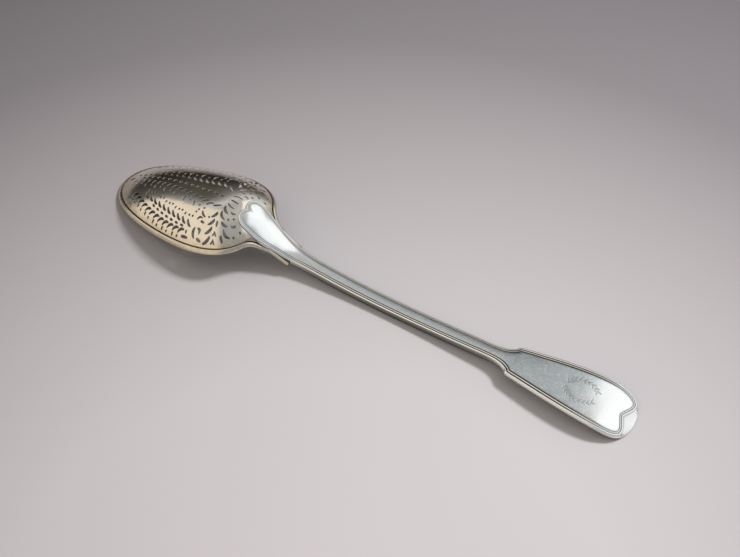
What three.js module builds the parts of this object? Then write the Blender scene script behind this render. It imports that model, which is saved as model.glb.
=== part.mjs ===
// Olive spoon: a long silver serving spoon with a pierced bowl and a fiddle-and-thread handle.
// It lies bowl-down, as it is laid on a table: Z = 0 is the table and +Z is up.
// X runs from the bowl's tip to the handle's end, with X = 0 half-way along. Sizes are in millimetres.
// "along" is always the distance from the bowl's tip, and "side" the distance from the middle line.
import * as THREE from "three";

// Overall size, and the seam left between two pieces for the solder
const LENGTH = 302;
const SEAM = 0.35;

// Bowl: an egg-shaped rim, a raised back and the sheet that it is raised from
const BOWL_LENGTH = 92.7;
const BOWL_WIDTH = 57.2;
const BOWL_EGG = 0.212; // how far the widest place moves from the middle towards the heel
const BOWL_FULLNESS = 0.093; // how square the sides are
const BOWL_DEPTH = 17.1; // rise of the back over the rim
const BOWL_CREST = 0.621 * BOWL_LENGTH; // from the tip to where the back is highest over the rim
const BOWL_ROUNDNESS = 2.7; // exponent of the back's curve, 2 being a parabola
const SHEET = 1.2;
const RIM_HEIGHT_TIP = 0.35;
const RIM_HEIGHT_HEEL = 16.4;
const RIM_SAG = 0.5; // how far the rim sags below a straight line from tip to heel

// Rim wire: a drawn half-round band round the lip, which runs on along both edges of the neck
const BAND_WIDTH = 1.8; // seen from above
const BAND_THICKNESS = 1.7;
const BAND_PROUD = 0.4; // how far its round side stands over the bowl's back
const BAND_SQUARENESS = 0.7; // exponent of the section, 1 being an ellipse
const LEAVES_RIM = 155; // degrees round the egg, from the tip, where the wire turns off to the neck
const LEG_TURN_LENGTH = 8.5; // how far it still heads along the rim as it turns
const NECK_WIDTH = 14;
const NECK_PINCH = 4; // from the heel to the place where the wire has turned along the neck
const NECK_BLEND = 7; // length over which the bowl's back runs into the neck
const NECK_BLEND_INSIDE = 1; // how much of it lies on the bowl
const LUG_WIDTH = 13.4; // over the wire's square-cut ends, beside the stem
const LEG_DROP_OUTER = 0.85; // how far the legs lie below the seat of the handle
const LEG_DROP_INNER = 0.3;

// Neck plate: the tang that fills the neck between the wire's legs
const PLATE_THICKNESS = 1.6;
const PLATE_CLEARANCE = 0.75; // to the wire, whose lower side leans inwards
const PLATE_START = 0.18; // share of the wire's leg where the plate has room beside it

// Handle: a heart-shaped drop on the bowl's back, a narrow stem and a fiddle-shaped end
const DROP_LENGTH = 13; // from the bowl's heel to the front of the drop's lobes
const DROP_WIDTH = 17.9;
const DROP_NOTCH = 1.8;
const LOBE_LENGTH = 6.2;
const LOBE_SWELL = 1.0;
const NECK_LENGTH = 17.3; // from the heel to the shoulder, where the stem is full depth
const SHOULDER_WIDTH = 10;
const STEM_WIDTH = 8.6;
const STEM_TAPER = 16; // from the shoulder to where the stem is parallel
const FIDDLE_LENGTH = 80; // from the handle's end to where the stem starts to flare
const CORNER_FROM_END = 65.6; // from the handle's end to the fiddle's shoulders
const CORNER_WIDTH = 18.2;
const CORNER_ROUND = 2.6;
const FIDDLE_WIDTH = 29.3;
const END_ROUND = 18;
const STEP_LEAN = 0.006; // share of the neck over which the underside steps down to full depth
const LAP = 1.1; // edge thickness of the drop where it laps over the bowl and the neck
const STEM_DEPTH = 3.4; // side wall of the stem
const FIDDLE_DEPTH = 2.5; // side wall of the fiddle
const NECK_CROWN = 0.9; // how round the neck is across, under the handle
const DROP_RISE = 1.7; // how far the middle line stands over the outer thread
const STEM_RISE = 1.3;
const FIDDLE_RISE = 0.9;

// Side view of the handle: height of its outer thread
const SHOULDER_HEIGHT = 8.2;
const STEM_DIP = 55; // from the shoulder to the lowest place of the stem
const STEM_DIP_HEIGHT = 3.85;
const FIDDLE_CREST = 42; // from the handle's end to the highest place of the fiddle
const FIDDLE_CREST_HEIGHT = 7.5;
const END_HEIGHT = 1.7;
const END_BEND = 16; // length of the end that is turned down to the table

// Threads along the handle's edge, and the accolade that closes them at the handle's end
const OUTER_THREAD = 1.25;
const OUTER_THREAD_HEIGHT = 0.45;
const INNER_THREAD = 0.8;
const INNER_THREAD_HEIGHT = 0.3;
const GROOVE = 0.3;
const GROOVE_DEPTH = 0.14;
const EDGE = 0.25; // plain ledge outside the threads
const THREAD_SHARE = 0.55; // share of the rise that lies within the threads
const PANEL_ROWS = 2;
const PANEL_POLE = 6.6; // from the notch of the drop or the accolade to the start of the middle line
const ACCOLADE_LOBE = 2.6; // from the handle's end to the accolade's lobes
const ACCOLADE_LOBE_WIDTH = 16.6;
const ACCOLADE_NOTCH = 7.1; // from the handle's end to the accolade's notch

// Piercing: sprays of hooks and crescents, with strokes and round holes between them, and a palm.
// The openings keep their size in proportion to the bowl's width.
const HOOK_LENGTH = 0.075 * BOWL_WIDTH;
const HOOK_WIDTH = 0.0192 * BOWL_WIDTH;
const CRESCENT_LENGTH = 0.0717 * BOWL_WIDTH;
const CRESCENT_WIDTH = 0.0184 * BOWL_WIDTH;
const PALM_LENGTH = 0.0857 * BOWL_WIDTH;
const PALM_WIDTH = 0.0219 * BOWL_WIDTH;
const STROKE_LENGTH = 0.0367 * BOWL_WIDTH;
const STROKE_WIDTH = 0.0166 * BOWL_WIDTH;
const ARROW_LENGTH = 0.0332 * BOWL_WIDTH;
const ROUND_HOLE = 0.0192 * BOWL_WIDTH;
const WEB = 0.006 * BOWL_WIDTH; // least metal between two openings
const MARGIN = 0.007 * BOWL_WIDTH; // plain metal inside the lip and round the drop

// Fineness of the meshes
const LIP_POINTS = 76;
const FILL_SPACING = 5.5;
const RIM_STEPS = 26;
const LEG_STEPS = 9;
const BAND_SIDES = 8;
const PLATE_ROWS = 8;
const PLATE_COLUMNS = 8;

// Places along the spoon that follow from those sizes
const SHOULDER = BOWL_LENGTH + NECK_LENGTH;
const DROP_FRONT = BOWL_LENGTH - DROP_LENGTH;
const STEM_END = LENGTH - FIDDLE_LENGTH;
const CORNER = LENGTH - CORNER_FROM_END;

const { clamp, lerp, smoothstep, degToRad } = THREE.MathUtils;

function plan(along, side) {
  return new THREE.Vector2(along, side);
}

function bend(from, leaving, arriving, to) {
  return new THREE.CubicBezierCurve(from, leaving, arriving, to);
}

// The right-hand side of a direction of travel, which is inwards on a half-outline from tip to end
function rightOf(direction) {
  return plan(direction.y, -direction.x).normalize();
}

// A smooth function through a few pairs of place and value, flat beyond the first and the last
function smoothThrough(pairs) {
  const slopes = pairs.map((pair, i) => {
    const before = pairs[Math.max(i - 1, 0)];
    const after = pairs[Math.min(i + 1, pairs.length - 1)];
    return (after[1] - before[1]) / (after[0] - before[0]);
  });
  return (place) => {
    let i = 0;
    while (i < pairs.length - 2 && place > pairs[i + 1][0]) i += 1;
    const span = pairs[i + 1][0] - pairs[i][0];
    const t = clamp((place - pairs[i][0]) / span, 0, 1);
    const start = pairs[i][1] * (1 + 2 * t) * (1 - t) ** 2;
    const end = pairs[i + 1][1] * (3 - 2 * t) * t ** 2;
    const lean = slopes[i] * (1 - t) - slopes[i + 1] * t;
    return start + end + span * t * (1 - t) * lean;
  };
}

// A closed mesh from triangles of THREE.Vector3, shifted so that X = 0 is half-way along the spoon
function meshFrom(name, triangles, material) {
  const isReal = ([a, b, c]) => {
    const area = new THREE.Triangle(a, b, c).getArea();
    return area > 1e-9;
  };
  const corners = triangles.filter(isReal).flat();
  const geometry = new THREE.BufferGeometry().setFromPoints(corners);
  geometry.translate(-LENGTH / 2, 0, 0);
  geometry.computeVertexNormals();
  const mesh = new THREE.Mesh(geometry, material);
  mesh.name = name;
  return mesh;
}

// Two triangles for each cell between two rows of points
function stitch(first, second) {
  const triangles = [];
  for (let i = 0; i + 1 < first.length; i += 1) {
    triangles.push([first[i], second[i], second[i + 1]]);
    triangles.push([first[i], second[i + 1], first[i + 1]]);
  }
  return triangles;
}

// The same triangles on the other side of the middle line, turned to face out again
function mirrored(triangles) {
  const across = (p) => new THREE.Vector3(p.x, -p.y, p.z);
  return triangles.map(([a, b, c]) => [across(a), across(c), across(b)]);
}

// Bowl: the rim seen from above, with turn 0 at the tip and PI at the heel

function eggBreadth(turn) {
  const egg = 1 - BOWL_EGG * Math.cos(turn) + BOWL_FULLNESS * Math.cos(2 * turn);
  return Math.sin(turn) * egg;
}

const EGG_SAMPLES = 360;
const widestBreadth = Math.max(
  ...Array.from({ length: EGG_SAMPLES }, (_, i) => eggBreadth((Math.PI * i) / EGG_SAMPLES)),
);

function rimPlan(turn) {
  const along = (BOWL_LENGTH / 2) * (1 - Math.cos(turn));
  return plan(along, ((BOWL_WIDTH / 2) * eggBreadth(turn)) / widestBreadth);
}

function rimTangent(turn) {
  const step = 1e-4;
  return rimPlan(turn + step).sub(rimPlan(turn - step)).normalize();
}

function rimInset(turn, inset) {
  return rimPlan(turn).addScaledVector(rightOf(rimTangent(turn)), inset);
}

function rimHeight(along) {
  const share = along / BOWL_LENGTH;
  const straight = lerp(RIM_HEIGHT_TIP, RIM_HEIGHT_HEEL, share);
  return straight - 4 * RIM_SAG * share * (1 - share);
}

// The rim in the direction of a point, seen from the top of the back, found by halving
function rimFacing(along, side) {
  const direction = Math.atan2(Math.abs(side), along - BOWL_CREST);
  let low = 0;
  let high = Math.PI;
  for (let i = 0; i < 40; i += 1) {
    const middle = (low + high) / 2;
    const rim = rimPlan(middle);
    if (Math.atan2(rim.y, rim.x - BOWL_CREST) > direction) low = middle;
    else high = middle;
  }
  return rimPlan(low);
}

// Height of the bowl's back. It runs on smoothly past the rim, where the neck takes over.
function backHeight(along, side) {
  const rim = rimFacing(along, side);
  const out = Math.hypot(along - BOWL_CREST, side) / Math.hypot(rim.x - BOWL_CREST, rim.y);
  return rimHeight(along) + BOWL_DEPTH * (1 - out ** BOWL_ROUNDNESS);
}

function onBack(point) {
  return new THREE.Vector3(point.x, point.y, backHeight(point.x, point.y));
}

// Handle in side view, and the seat under it: the bowl's back, then the neck

const edgeHeight = smoothThrough([
  [BOWL_LENGTH, RIM_HEIGHT_HEEL],
  [SHOULDER, SHOULDER_HEIGHT],
  [SHOULDER + STEM_DIP, STEM_DIP_HEIGHT],
  [LENGTH - FIDDLE_CREST, FIDDLE_CREST_HEIGHT],
  [LENGTH - END_BEND, FIDDLE_CREST_HEIGHT - FIDDLE_RISE],
  [LENGTH, END_HEIGHT],
]);

const middleRise = smoothThrough([
  [DROP_FRONT, DROP_RISE],
  [BOWL_LENGTH, DROP_RISE],
  [SHOULDER, STEM_RISE],
  [STEM_END, STEM_RISE],
  [CORNER, FIDDLE_RISE],
  [LENGTH, FIDDLE_RISE],
]);

const wallDepth = smoothThrough([
  [SHOULDER, STEM_DEPTH],
  [STEM_END, STEM_DEPTH],
  [CORNER, FIDDLE_DEPTH],
  [LENGTH, FIDDLE_DEPTH],
]);

function seatHeight(along, side) {
  const blendFrom = BOWL_LENGTH - NECK_BLEND_INSIDE;
  const toNeck = smoothstep(along, blendFrom, blendFrom + NECK_BLEND);
  const crown = NECK_CROWN * (1 - smoothstep(along, BOWL_LENGTH, SHOULDER));
  const across = (2 * side) / DROP_WIDTH;
  const neck = edgeHeight(along) - LAP - SEAM + crown * (1 - across ** 2);
  return toNeck < 1 ? lerp(backHeight(along, side), neck, toNeck) : neck;
}

function handleTop(along, side) {
  return along < SHOULDER ? seatHeight(along, side) + SEAM + LAP : edgeHeight(along);
}

function handleUnderside(along, side, lapped) {
  if (lapped) return seatHeight(along, side) + SEAM;
  return Math.max(0, edgeHeight(along) - wallDepth(along));
}

// Half-outline of the handle, from the drop's notch round the lobe and along to the handle's end.
// Where the threads leave the edge they have a line of their own.

const lobeSide = DROP_WIDTH / 2;
const lobeEnd = plan(DROP_FRONT + LOBE_LENGTH, lobeSide);
const shoulderPoint = plan(SHOULDER, SHOULDER_WIDTH / 2);
const stemStart = plan(SHOULDER + STEM_TAPER, STEM_WIDTH / 2);
const stemFinish = plan(STEM_END, STEM_WIDTH / 2);
const flareTop = plan(CORNER - 0.3 * CORNER_ROUND, CORNER_WIDTH / 2 - 0.35 * CORNER_ROUND);
const cornerEnd = plan(CORNER + CORNER_ROUND, CORNER_WIDTH / 2 + 0.15 * CORNER_ROUND);
const fiddleWidest = plan(LENGTH - END_ROUND, FIDDLE_WIDTH / 2);
const endTip = plan(LENGTH, 0);
const accoladeLobe = plan(LENGTH - ACCOLADE_LOBE, ACCOLADE_LOBE_WIDTH / 2);
const accoladeNotch = plan(LENGTH - ACCOLADE_NOTCH, 0);
const fiddleThread = plan(fiddleWidest.x, fiddleWidest.y - EDGE);

const wholeEnd = bend(
  fiddleWidest,
  plan(LENGTH - 0.25 * END_ROUND, fiddleWidest.y),
  plan(LENGTH, 0.72 * fiddleWidest.y),
  endTip,
);
const END_SPLIT = 0.6; // share of the end's curve that faces the accolade's lobe

function partOf(curve, from, to) {
  return {
    getPoint: (t) => curve.getPoint(lerp(from, to, t)),
    getTangent: (t) => curve.getTangent(lerp(from, to, t)),
  };
}

const handleOutline = [
  {
    edge: bend(
      plan(DROP_FRONT + DROP_NOTCH, 0),
      plan(DROP_FRONT - LOBE_SWELL, 0.28 * lobeSide),
      plan(DROP_FRONT - LOBE_SWELL, lobeSide),
      lobeEnd,
    ),
    steps: 10,
    lapped: true,
  },
  {
    edge: bend(
      lobeEnd,
      plan(lerp(lobeEnd.x, SHOULDER, 1 / 3), lobeSide),
      plan(lerp(lobeEnd.x, SHOULDER, 0.57), 1.18 * shoulderPoint.y),
      shoulderPoint,
    ),
    steps: 9,
    lapped: true,
  },
  {
    edge: bend(
      shoulderPoint,
      plan(SHOULDER + STEM_TAPER / 3, 0.91 * shoulderPoint.y),
      plan(SHOULDER + STEM_TAPER / 2, stemStart.y),
      stemStart,
    ),
    steps: 3,
  },
  { edge: new THREE.LineCurve(stemStart, stemFinish), steps: 8 },
  {
    edge: bend(
      stemFinish,
      plan(lerp(STEM_END, CORNER, 0.5), stemFinish.y),
      plan(CORNER - 1.1 * CORNER_ROUND, lerp(stemFinish.y, flareTop.y, 0.3)),
      flareTop,
    ),
    steps: 6,
  },
  {
    edge: bend(
      flareTop,
      plan(CORNER - 0.13 * CORNER_ROUND, CORNER_WIDTH / 2 - 0.12 * CORNER_ROUND),
      plan(CORNER + 0.23 * CORNER_ROUND, CORNER_WIDTH / 2 + 0.02 * CORNER_ROUND),
      cornerEnd,
    ),
    steps: 3,
  },
  {
    edge: bend(
      cornerEnd,
      plan(lerp(cornerEnd.x, fiddleWidest.x, 0.35), lerp(cornerEnd.y, fiddleWidest.y, 0.5)),
      plan(lerp(cornerEnd.x, fiddleWidest.x, 0.7), fiddleWidest.y),
      fiddleWidest,
    ),
    steps: 6,
  },
  {
    edge: partOf(wholeEnd, 0, END_SPLIT),
    thread: bend(
      fiddleThread,
      plan(lerp(fiddleThread.x, accoladeLobe.x, 0.65), fiddleThread.y),
      plan(accoladeLobe.x, lerp(fiddleThread.y, accoladeLobe.y, 0.36)),
      accoladeLobe,
    ),
    steps: 8,
  },
  {
    edge: partOf(wholeEnd, END_SPLIT, 1),
    thread: bend(
      accoladeLobe,
      plan(accoladeLobe.x, 0.6 * accoladeLobe.y),
      plan(lerp(accoladeNotch.x, accoladeLobe.x, 0.4), 0.4 * accoladeLobe.y),
      accoladeNotch,
    ),
    steps: 6,
  },
];

// Section across the threads: distance from the edge, and height over the plain surface
function beadProfile(start, width, height, steps) {
  return Array.from({ length: steps + 1 }, (_, i) => {
    const angle = (Math.PI * i) / steps;
    return [start + (width * (1 - Math.cos(angle))) / 2, height * Math.sin(angle)];
  });
}

const innerThreadStart = OUTER_THREAD + GROOVE;
const threadZone = innerThreadStart + INNER_THREAD + GROOVE;
const threadProfile = [
  ...beadProfile(0, OUTER_THREAD, OUTER_THREAD_HEIGHT, 3),
  [OUTER_THREAD + GROOVE / 2, -GROOVE_DEPTH],
  ...beadProfile(innerThreadStart, INNER_THREAD, INNER_THREAD_HEIGHT, 2),
  [threadZone - GROOVE / 2, -GROOVE_DEPTH],
  [threadZone, 0],
];

// The front of the handle, which faces the table, has the same threads as grooves in a flat face
const frontProfile = [
  [0, GROOVE_DEPTH],
  [GROOVE, 0],
  [OUTER_THREAD, 0],
  [OUTER_THREAD + GROOVE / 2, 2 * GROOVE_DEPTH],
  [innerThreadStart, 0],
  [threadZone - GROOVE, 0],
  [threadZone - GROOVE / 2, 2 * GROOVE_DEPTH],
];

// Ends of the middle line, on which the rows of the lobes and of the rounded end meet
const middleStart = DROP_FRONT + DROP_NOTCH + PANEL_POLE;
const middleEnd = LENGTH - ACCOLADE_NOTCH - PANEL_POLE;

// One row of points round half the handle: middle line, panel, threads, edge, wall, front, middle line
function handleRow(edge, thread, inward, lapped) {
  const row = [];
  const lift = (point, share, bead) => {
    const height = handleTop(point.x, point.y) + middleRise(point.x) * share + bead;
    row.push(new THREE.Vector3(point.x, point.y, height));
  };
  const panelEdge = thread.clone().addScaledVector(inward, threadZone);
  const middle = plan(clamp(panelEdge.x, middleStart, middleEnd), 0);
  for (let i = PANEL_ROWS + 1; i > 0; i -= 1) {
    const share = i / (PANEL_ROWS + 1);
    const round = lerp(THREAD_SHARE, 1, 1 - (1 - share) ** 2);
    lift(panelEdge.clone().lerp(middle, share), round, 0);
  }
  for (const [inset, bead] of [...threadProfile].reverse()) {
    const point = thread.clone().addScaledVector(inward, inset);
    lift(point, (THREAD_SHARE * inset) / threadZone, bead);
  }
  lift(thread.clone().lerp(edge, 0.5), 0, -EDGE / 4);
  lift(edge, 0, -EDGE);
  const toMiddle = middle.clone().sub(edge).normalize();
  for (const [inset, groove] of [...frontProfile, [edge.distanceTo(middle), 0]]) {
    const point = edge.clone().addScaledVector(toMiddle, inset);
    const height = handleUnderside(point.x, point.y, lapped) + (lapped ? 0 : groove);
    row.push(new THREE.Vector3(point.x, point.y, height));
  }
  return row;
}

function handleTriangles() {
  const rows = [];
  handleOutline.forEach(({ edge, thread, steps, lapped }, index) => {
    const next = handleOutline[index + 1];
    const lapEnds = lapped && !next.lapped;
    const isLast = !next;
    for (let i = 0; i < steps + (lapEnds || isLast ? 1 : 0); i += 1) {
      const t = lapEnds ? Math.min(i / steps, 1 - STEP_LEAN) : i / steps;
      const onEdge = edge.getPoint(t);
      let inward = rightOf((thread ?? edge).getTangent(t));
      if (index === 0 && i === 0) inward = plan(1, 0);
      if (isLast && i === steps) inward = plan(-1, 0);
      const onThread = thread ? thread.getPoint(t) : onEdge.clone().addScaledVector(inward, EDGE);
      rows.push(handleRow(onEdge, onThread, inward, Boolean(lapped)));
    }
  });
  const half = rows.slice(1).flatMap((row, i) => stitch(rows[i], row));
  return [...half, ...mirrored(half)];
}

// Rim wire: its outer and inner guide lines, from the tip round the rim and then down the neck

const leavesAt = degToRad(LEAVES_RIM);
const legStart = rimPlan(leavesAt);
const legCurve = bend(
  legStart,
  legStart.clone().addScaledVector(rimTangent(leavesAt), LEG_TURN_LENGTH),
  plan(BOWL_LENGTH + NECK_PINCH, NECK_WIDTH / 2),
  plan(SHOULDER - SEAM, LUG_WIDTH / 2),
);

function legInset(share, inset) {
  const inward = rightOf(legCurve.getTangent(share));
  return legCurve.getPoint(share).addScaledVector(inward, inset);
}

function legPoint(share, inset, drop) {
  const point = legInset(share, inset);
  const height = seatHeight(point.x, point.y) - drop * smoothstep(share, 0, 0.6);
  return new THREE.Vector3(point.x, point.y, height);
}

function wireGuides() {
  const guides = [];
  for (let i = 0; i < RIM_STEPS; i += 1) {
    const turn = (leavesAt * i) / RIM_STEPS;
    guides.push([onBack(rimPlan(turn)), onBack(rimInset(turn, BAND_WIDTH))]);
  }
  for (let i = 0; i <= LEG_STEPS; i += 1) {
    const share = i / LEG_STEPS;
    guides.push([
      legPoint(share, 0, LEG_DROP_OUTER),
      legPoint(share, BAND_WIDTH, LEG_DROP_INNER),
    ]);
  }
  return guides;
}

function power(value) {
  return Math.sign(value) * Math.abs(value) ** BAND_SQUARENESS;
}

// The band's section at one place, as a ring of points. What would reach below the table is worn flat.
function bandRing([outer, inner], ahead) {
  const across = inner.clone().sub(outer);
  const width = across.length();
  across.normalize();
  const outwards = ahead.clone().cross(across).normalize().negate();
  const ring = [];
  for (let i = 0; i <= BAND_SIDES; i += 1) {
    const angle = (2 * Math.PI * ((i % BAND_SIDES) + 0.5)) / BAND_SIDES;
    const lift = BAND_PROUD + (BAND_THICKNESS / 2) * (power(Math.sin(angle)) - 1);
    const point = outer.clone();
    point.addScaledVector(across, (width / 2) * (1 + power(Math.cos(angle))));
    point.addScaledVector(outwards, lift);
    point.z = Math.max(0, point.z);
    ring.push(point);
  }
  return ring;
}

function wireTriangles() {
  const guides = wireGuides();
  const rings = guides.map((guide, i) => {
    if (i === 0) return bandRing(guide, new THREE.Vector3(0, 1, 0));
    const before = guides[i - 1][0];
    const after = guides[Math.min(i + 1, guides.length - 1)][0];
    return bandRing(guide, after.clone().sub(before).normalize());
  });
  for (const point of rings[0]) point.y = 0;
  const half = rings.slice(1).flatMap((ring, i) => stitch(rings[i], ring));
  const end = rings[rings.length - 1];
  for (let i = 1; i + 2 < end.length; i += 1) half.push([end[0], end[i + 1], end[i]]);
  return [...half, ...mirrored(half)];
}

// Neck plate: rows between the wire's two legs, from the bowl's lip to the handle's shoulder

const lipInset = BAND_WIDTH + SEAM;

function plateTriangles() {
  const top = [];
  const bottom = [];
  const front = rimInset(Math.PI, lipInset).x + SEAM;
  for (let i = 0; i <= PLATE_ROWS; i += 1) {
    const share = lerp(PLATE_START, 1, i / PLATE_ROWS);
    const corner = legInset(share, BAND_WIDTH + PLATE_CLEARANCE);
    const middle = lerp(front, corner.x, i / PLATE_ROWS);
    const upper = [];
    for (let k = -PLATE_COLUMNS / 2; k <= PLATE_COLUMNS / 2; k += 1) {
      const across = (2 * k) / PLATE_COLUMNS;
      const along = lerp(middle, corner.x, across ** 2);
      const side = across * corner.y;
      upper.push(new THREE.Vector3(along, side, seatHeight(along, side)));
    }
    top.push(upper);
    bottom.push(upper.map((p) => new THREE.Vector3(p.x, p.y, p.z - PLATE_THICKNESS)));
  }
  const last = PLATE_ROWS;
  const edgeOf = (rows, column) => rows.map((row) => row[column]);
  return [
    ...top.slice(1).flatMap((row, i) => stitch(top[i], row)),
    ...bottom.slice(1).flatMap((row, i) => stitch(row, bottom[i])),
    ...stitch(bottom[0], top[0]),
    ...stitch(top[last], bottom[last]),
    ...stitch(edgeOf(top, 0), edgeOf(bottom, 0)),
    ...stitch(edgeOf(bottom, PLATE_COLUMNS), edgeOf(top, PLATE_COLUMNS)),
  ];
}

// Piercing. Openings are drawn from above, on the half with positive side, as outlines.

// A place on the bowl as shares of its length from the tip and of its half-width from the middle
function onBowl(lengthShare, widthShare) {
  return plan(lengthShare * BOWL_LENGTH, (widthShare * BOWL_WIDTH) / 2);
}

// A point of an opening that starts at base and runs ahead at a heading, in degrees from the handle's
function offsetFrom(base, heading, ahead, out) {
  return plan(ahead, out).rotateAround(plan(0, 0), degToRad(heading)).add(base);
}

// A curved leaf, blunt at its base and pointed at its far end, with its bow as a share of its length
function leaf(base, heading, length, width, bow) {
  const halfWidths = [
    [0, 0.25],
    [0.3, 0.5],
    [0.66, 0.38],
  ];
  const at = (share, side) =>
    offsetFrom(base, heading, share * length, 4 * share * (1 - share) * bow * length + side * width);
  const left = halfWidths.map(([share, side]) => at(share, side));
  const right = halfWidths.map(([share, side]) => at(share, -side));
  return [...left, at(1, 0), ...right.reverse()];
}

function stroke(base, heading, length) {
  const half = STROKE_WIDTH / 2;
  const corners = [
    [0, 0.6 * half],
    [0.55 * length, half],
    [length, 0],
    [0.55 * length, -half],
    [0, -0.6 * half],
  ];
  return corners.map(([ahead, out]) => offsetFrom(base, heading, ahead, out));
}

function arrow(tip, heading) {
  const corners = [
    [0, 0],
    [ARROW_LENGTH, 0.65 * ARROW_LENGTH],
    [ARROW_LENGTH, 0.25 * ARROW_LENGTH],
    [0.5 * ARROW_LENGTH, 0],
    [ARROW_LENGTH, -0.25 * ARROW_LENGTH],
    [ARROW_LENGTH, -0.65 * ARROW_LENGTH],
  ];
  return corners.map(([ahead, out]) => offsetFrom(tip, heading, ahead, out));
}

function roundHole(centre) {
  const sides = 6;
  return Array.from({ length: sides }, (_, i) => offsetFrom(centre, (360 * i) / sides, ROUND_HOLE / 2, 0));
}

// Openings in a row along a stem, each drawn at its place with the stem's own heading there
function alongStem(stem, count, draw) {
  const curve = new THREE.QuadraticBezierCurve(...stem);
  return Array.from({ length: count }, (_, i) => {
    const share = curve.getUtoTmapping(i / (count - 1));
    const tangent = curve.getTangent(share);
    const heading = THREE.MathUtils.radToDeg(Math.atan2(tangent.y, tangent.x));
    return draw(curve.getPoint(share), heading, i);
  }).flat();
}

// A hook, and towards the rim a tail or a round hole. The tail's places are shares of the hook's length.
function tailedHook(place, heading, size, tail, isTailed) {
  const hook = leaf(place, heading, size * HOOK_LENGTH, HOOK_WIDTH, -0.16);
  const foot = offsetFrom(place, 0, tail.ahead * HOOK_LENGTH, tail.out * HOOK_LENGTH);
  if (isTailed) {
    return [hook, leaf(foot, tail.heading, size * tail.length * HOOK_LENGTH, STROKE_WIDTH, 0.06)];
  }
  return [hook, roundHole(offsetFrom(place, 0, 0.07 * HOOK_LENGTH, size * tail.hole * HOOK_LENGTH))];
}

// Spray along the rim: tailed hooks, a row of dashes inside them, and a mark at the heel side
function rimSpray() {
  const tail = { ahead: 0.35, out: 0.06, heading: 90, length: 0.35, hole: 0.28 };
  const hookStem = [onBowl(0.162, 0.405), onBowl(0.371, 0.808), onBowl(0.576, 0.836)];
  const hooks = alongStem(hookStem, 12, (place, heading, i) =>
    tailedHook(place, 0.6 * heading - 22, 1, tail, i % 2 === 0),
  );
  const dashStem = [onBowl(0.345, 0.528), onBowl(0.461, 0.682), onBowl(0.588, 0.724)];
  const dashes = alongStem(dashStem, 7, (place, heading) => [stroke(place, heading + 2, STROKE_LENGTH)]);
  const foot = onBowl(0.608, 0.865);
  const endMark = [
    leaf(foot, 0, HOOK_LENGTH, STROKE_WIDTH, 0),
    stroke(offsetFrom(foot, 0, 0.5 * HOOK_LENGTH, -0.63 * HOOK_LENGTH), 85, 0.8 * STROKE_LENGTH),
  ];
  return [...hooks, ...dashes, ...endMark];
}

// Spray inside it: slanting crescents, with a stroke and a pair of round holes in turn beside them
function middleSpray() {
  const stem = [onBowl(0.262, 0.355), onBowl(0.426, 0.54), onBowl(0.612, 0.63)];
  const beside = (place, ahead, out) => offsetFrom(place, 0, ahead * HOOK_LENGTH, out * HOOK_LENGTH);
  return alongStem(stem, 10, (place, heading, i) => {
    const pair = [-0.07, 0.44].map((ahead) => roundHole(beside(place, ahead, -0.47)));
    const single = [stroke(beside(place, 0.23, -0.53), 108, 0.75 * STROKE_LENGTH)];
    return [
      leaf(place, 39, CRESCENT_LENGTH, CRESCENT_WIDTH, 0.07),
      ...(i % 2 ? pair : single),
    ];
  });
}

// Feather beside the middle line: tailed hooks that get longer towards the heel
function feather() {
  const count = 16;
  const tail = { ahead: -0.05, out: 0.26, heading: 72, length: 0.8, hole: 0.49 };
  const stem = [onBowl(0.1, 0.11), onBowl(0.43, 0.15), onBowl(0.67, 0.3)];
  return alongStem(stem, count, (place, heading, i) => {
    const size = lerp(0.55, 1, i / (count - 1));
    const isTailed = i % 2 === 1 && i + 1 < count;
    return tailedHook(place, -28, size, tail, isTailed);
  });
}

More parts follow.
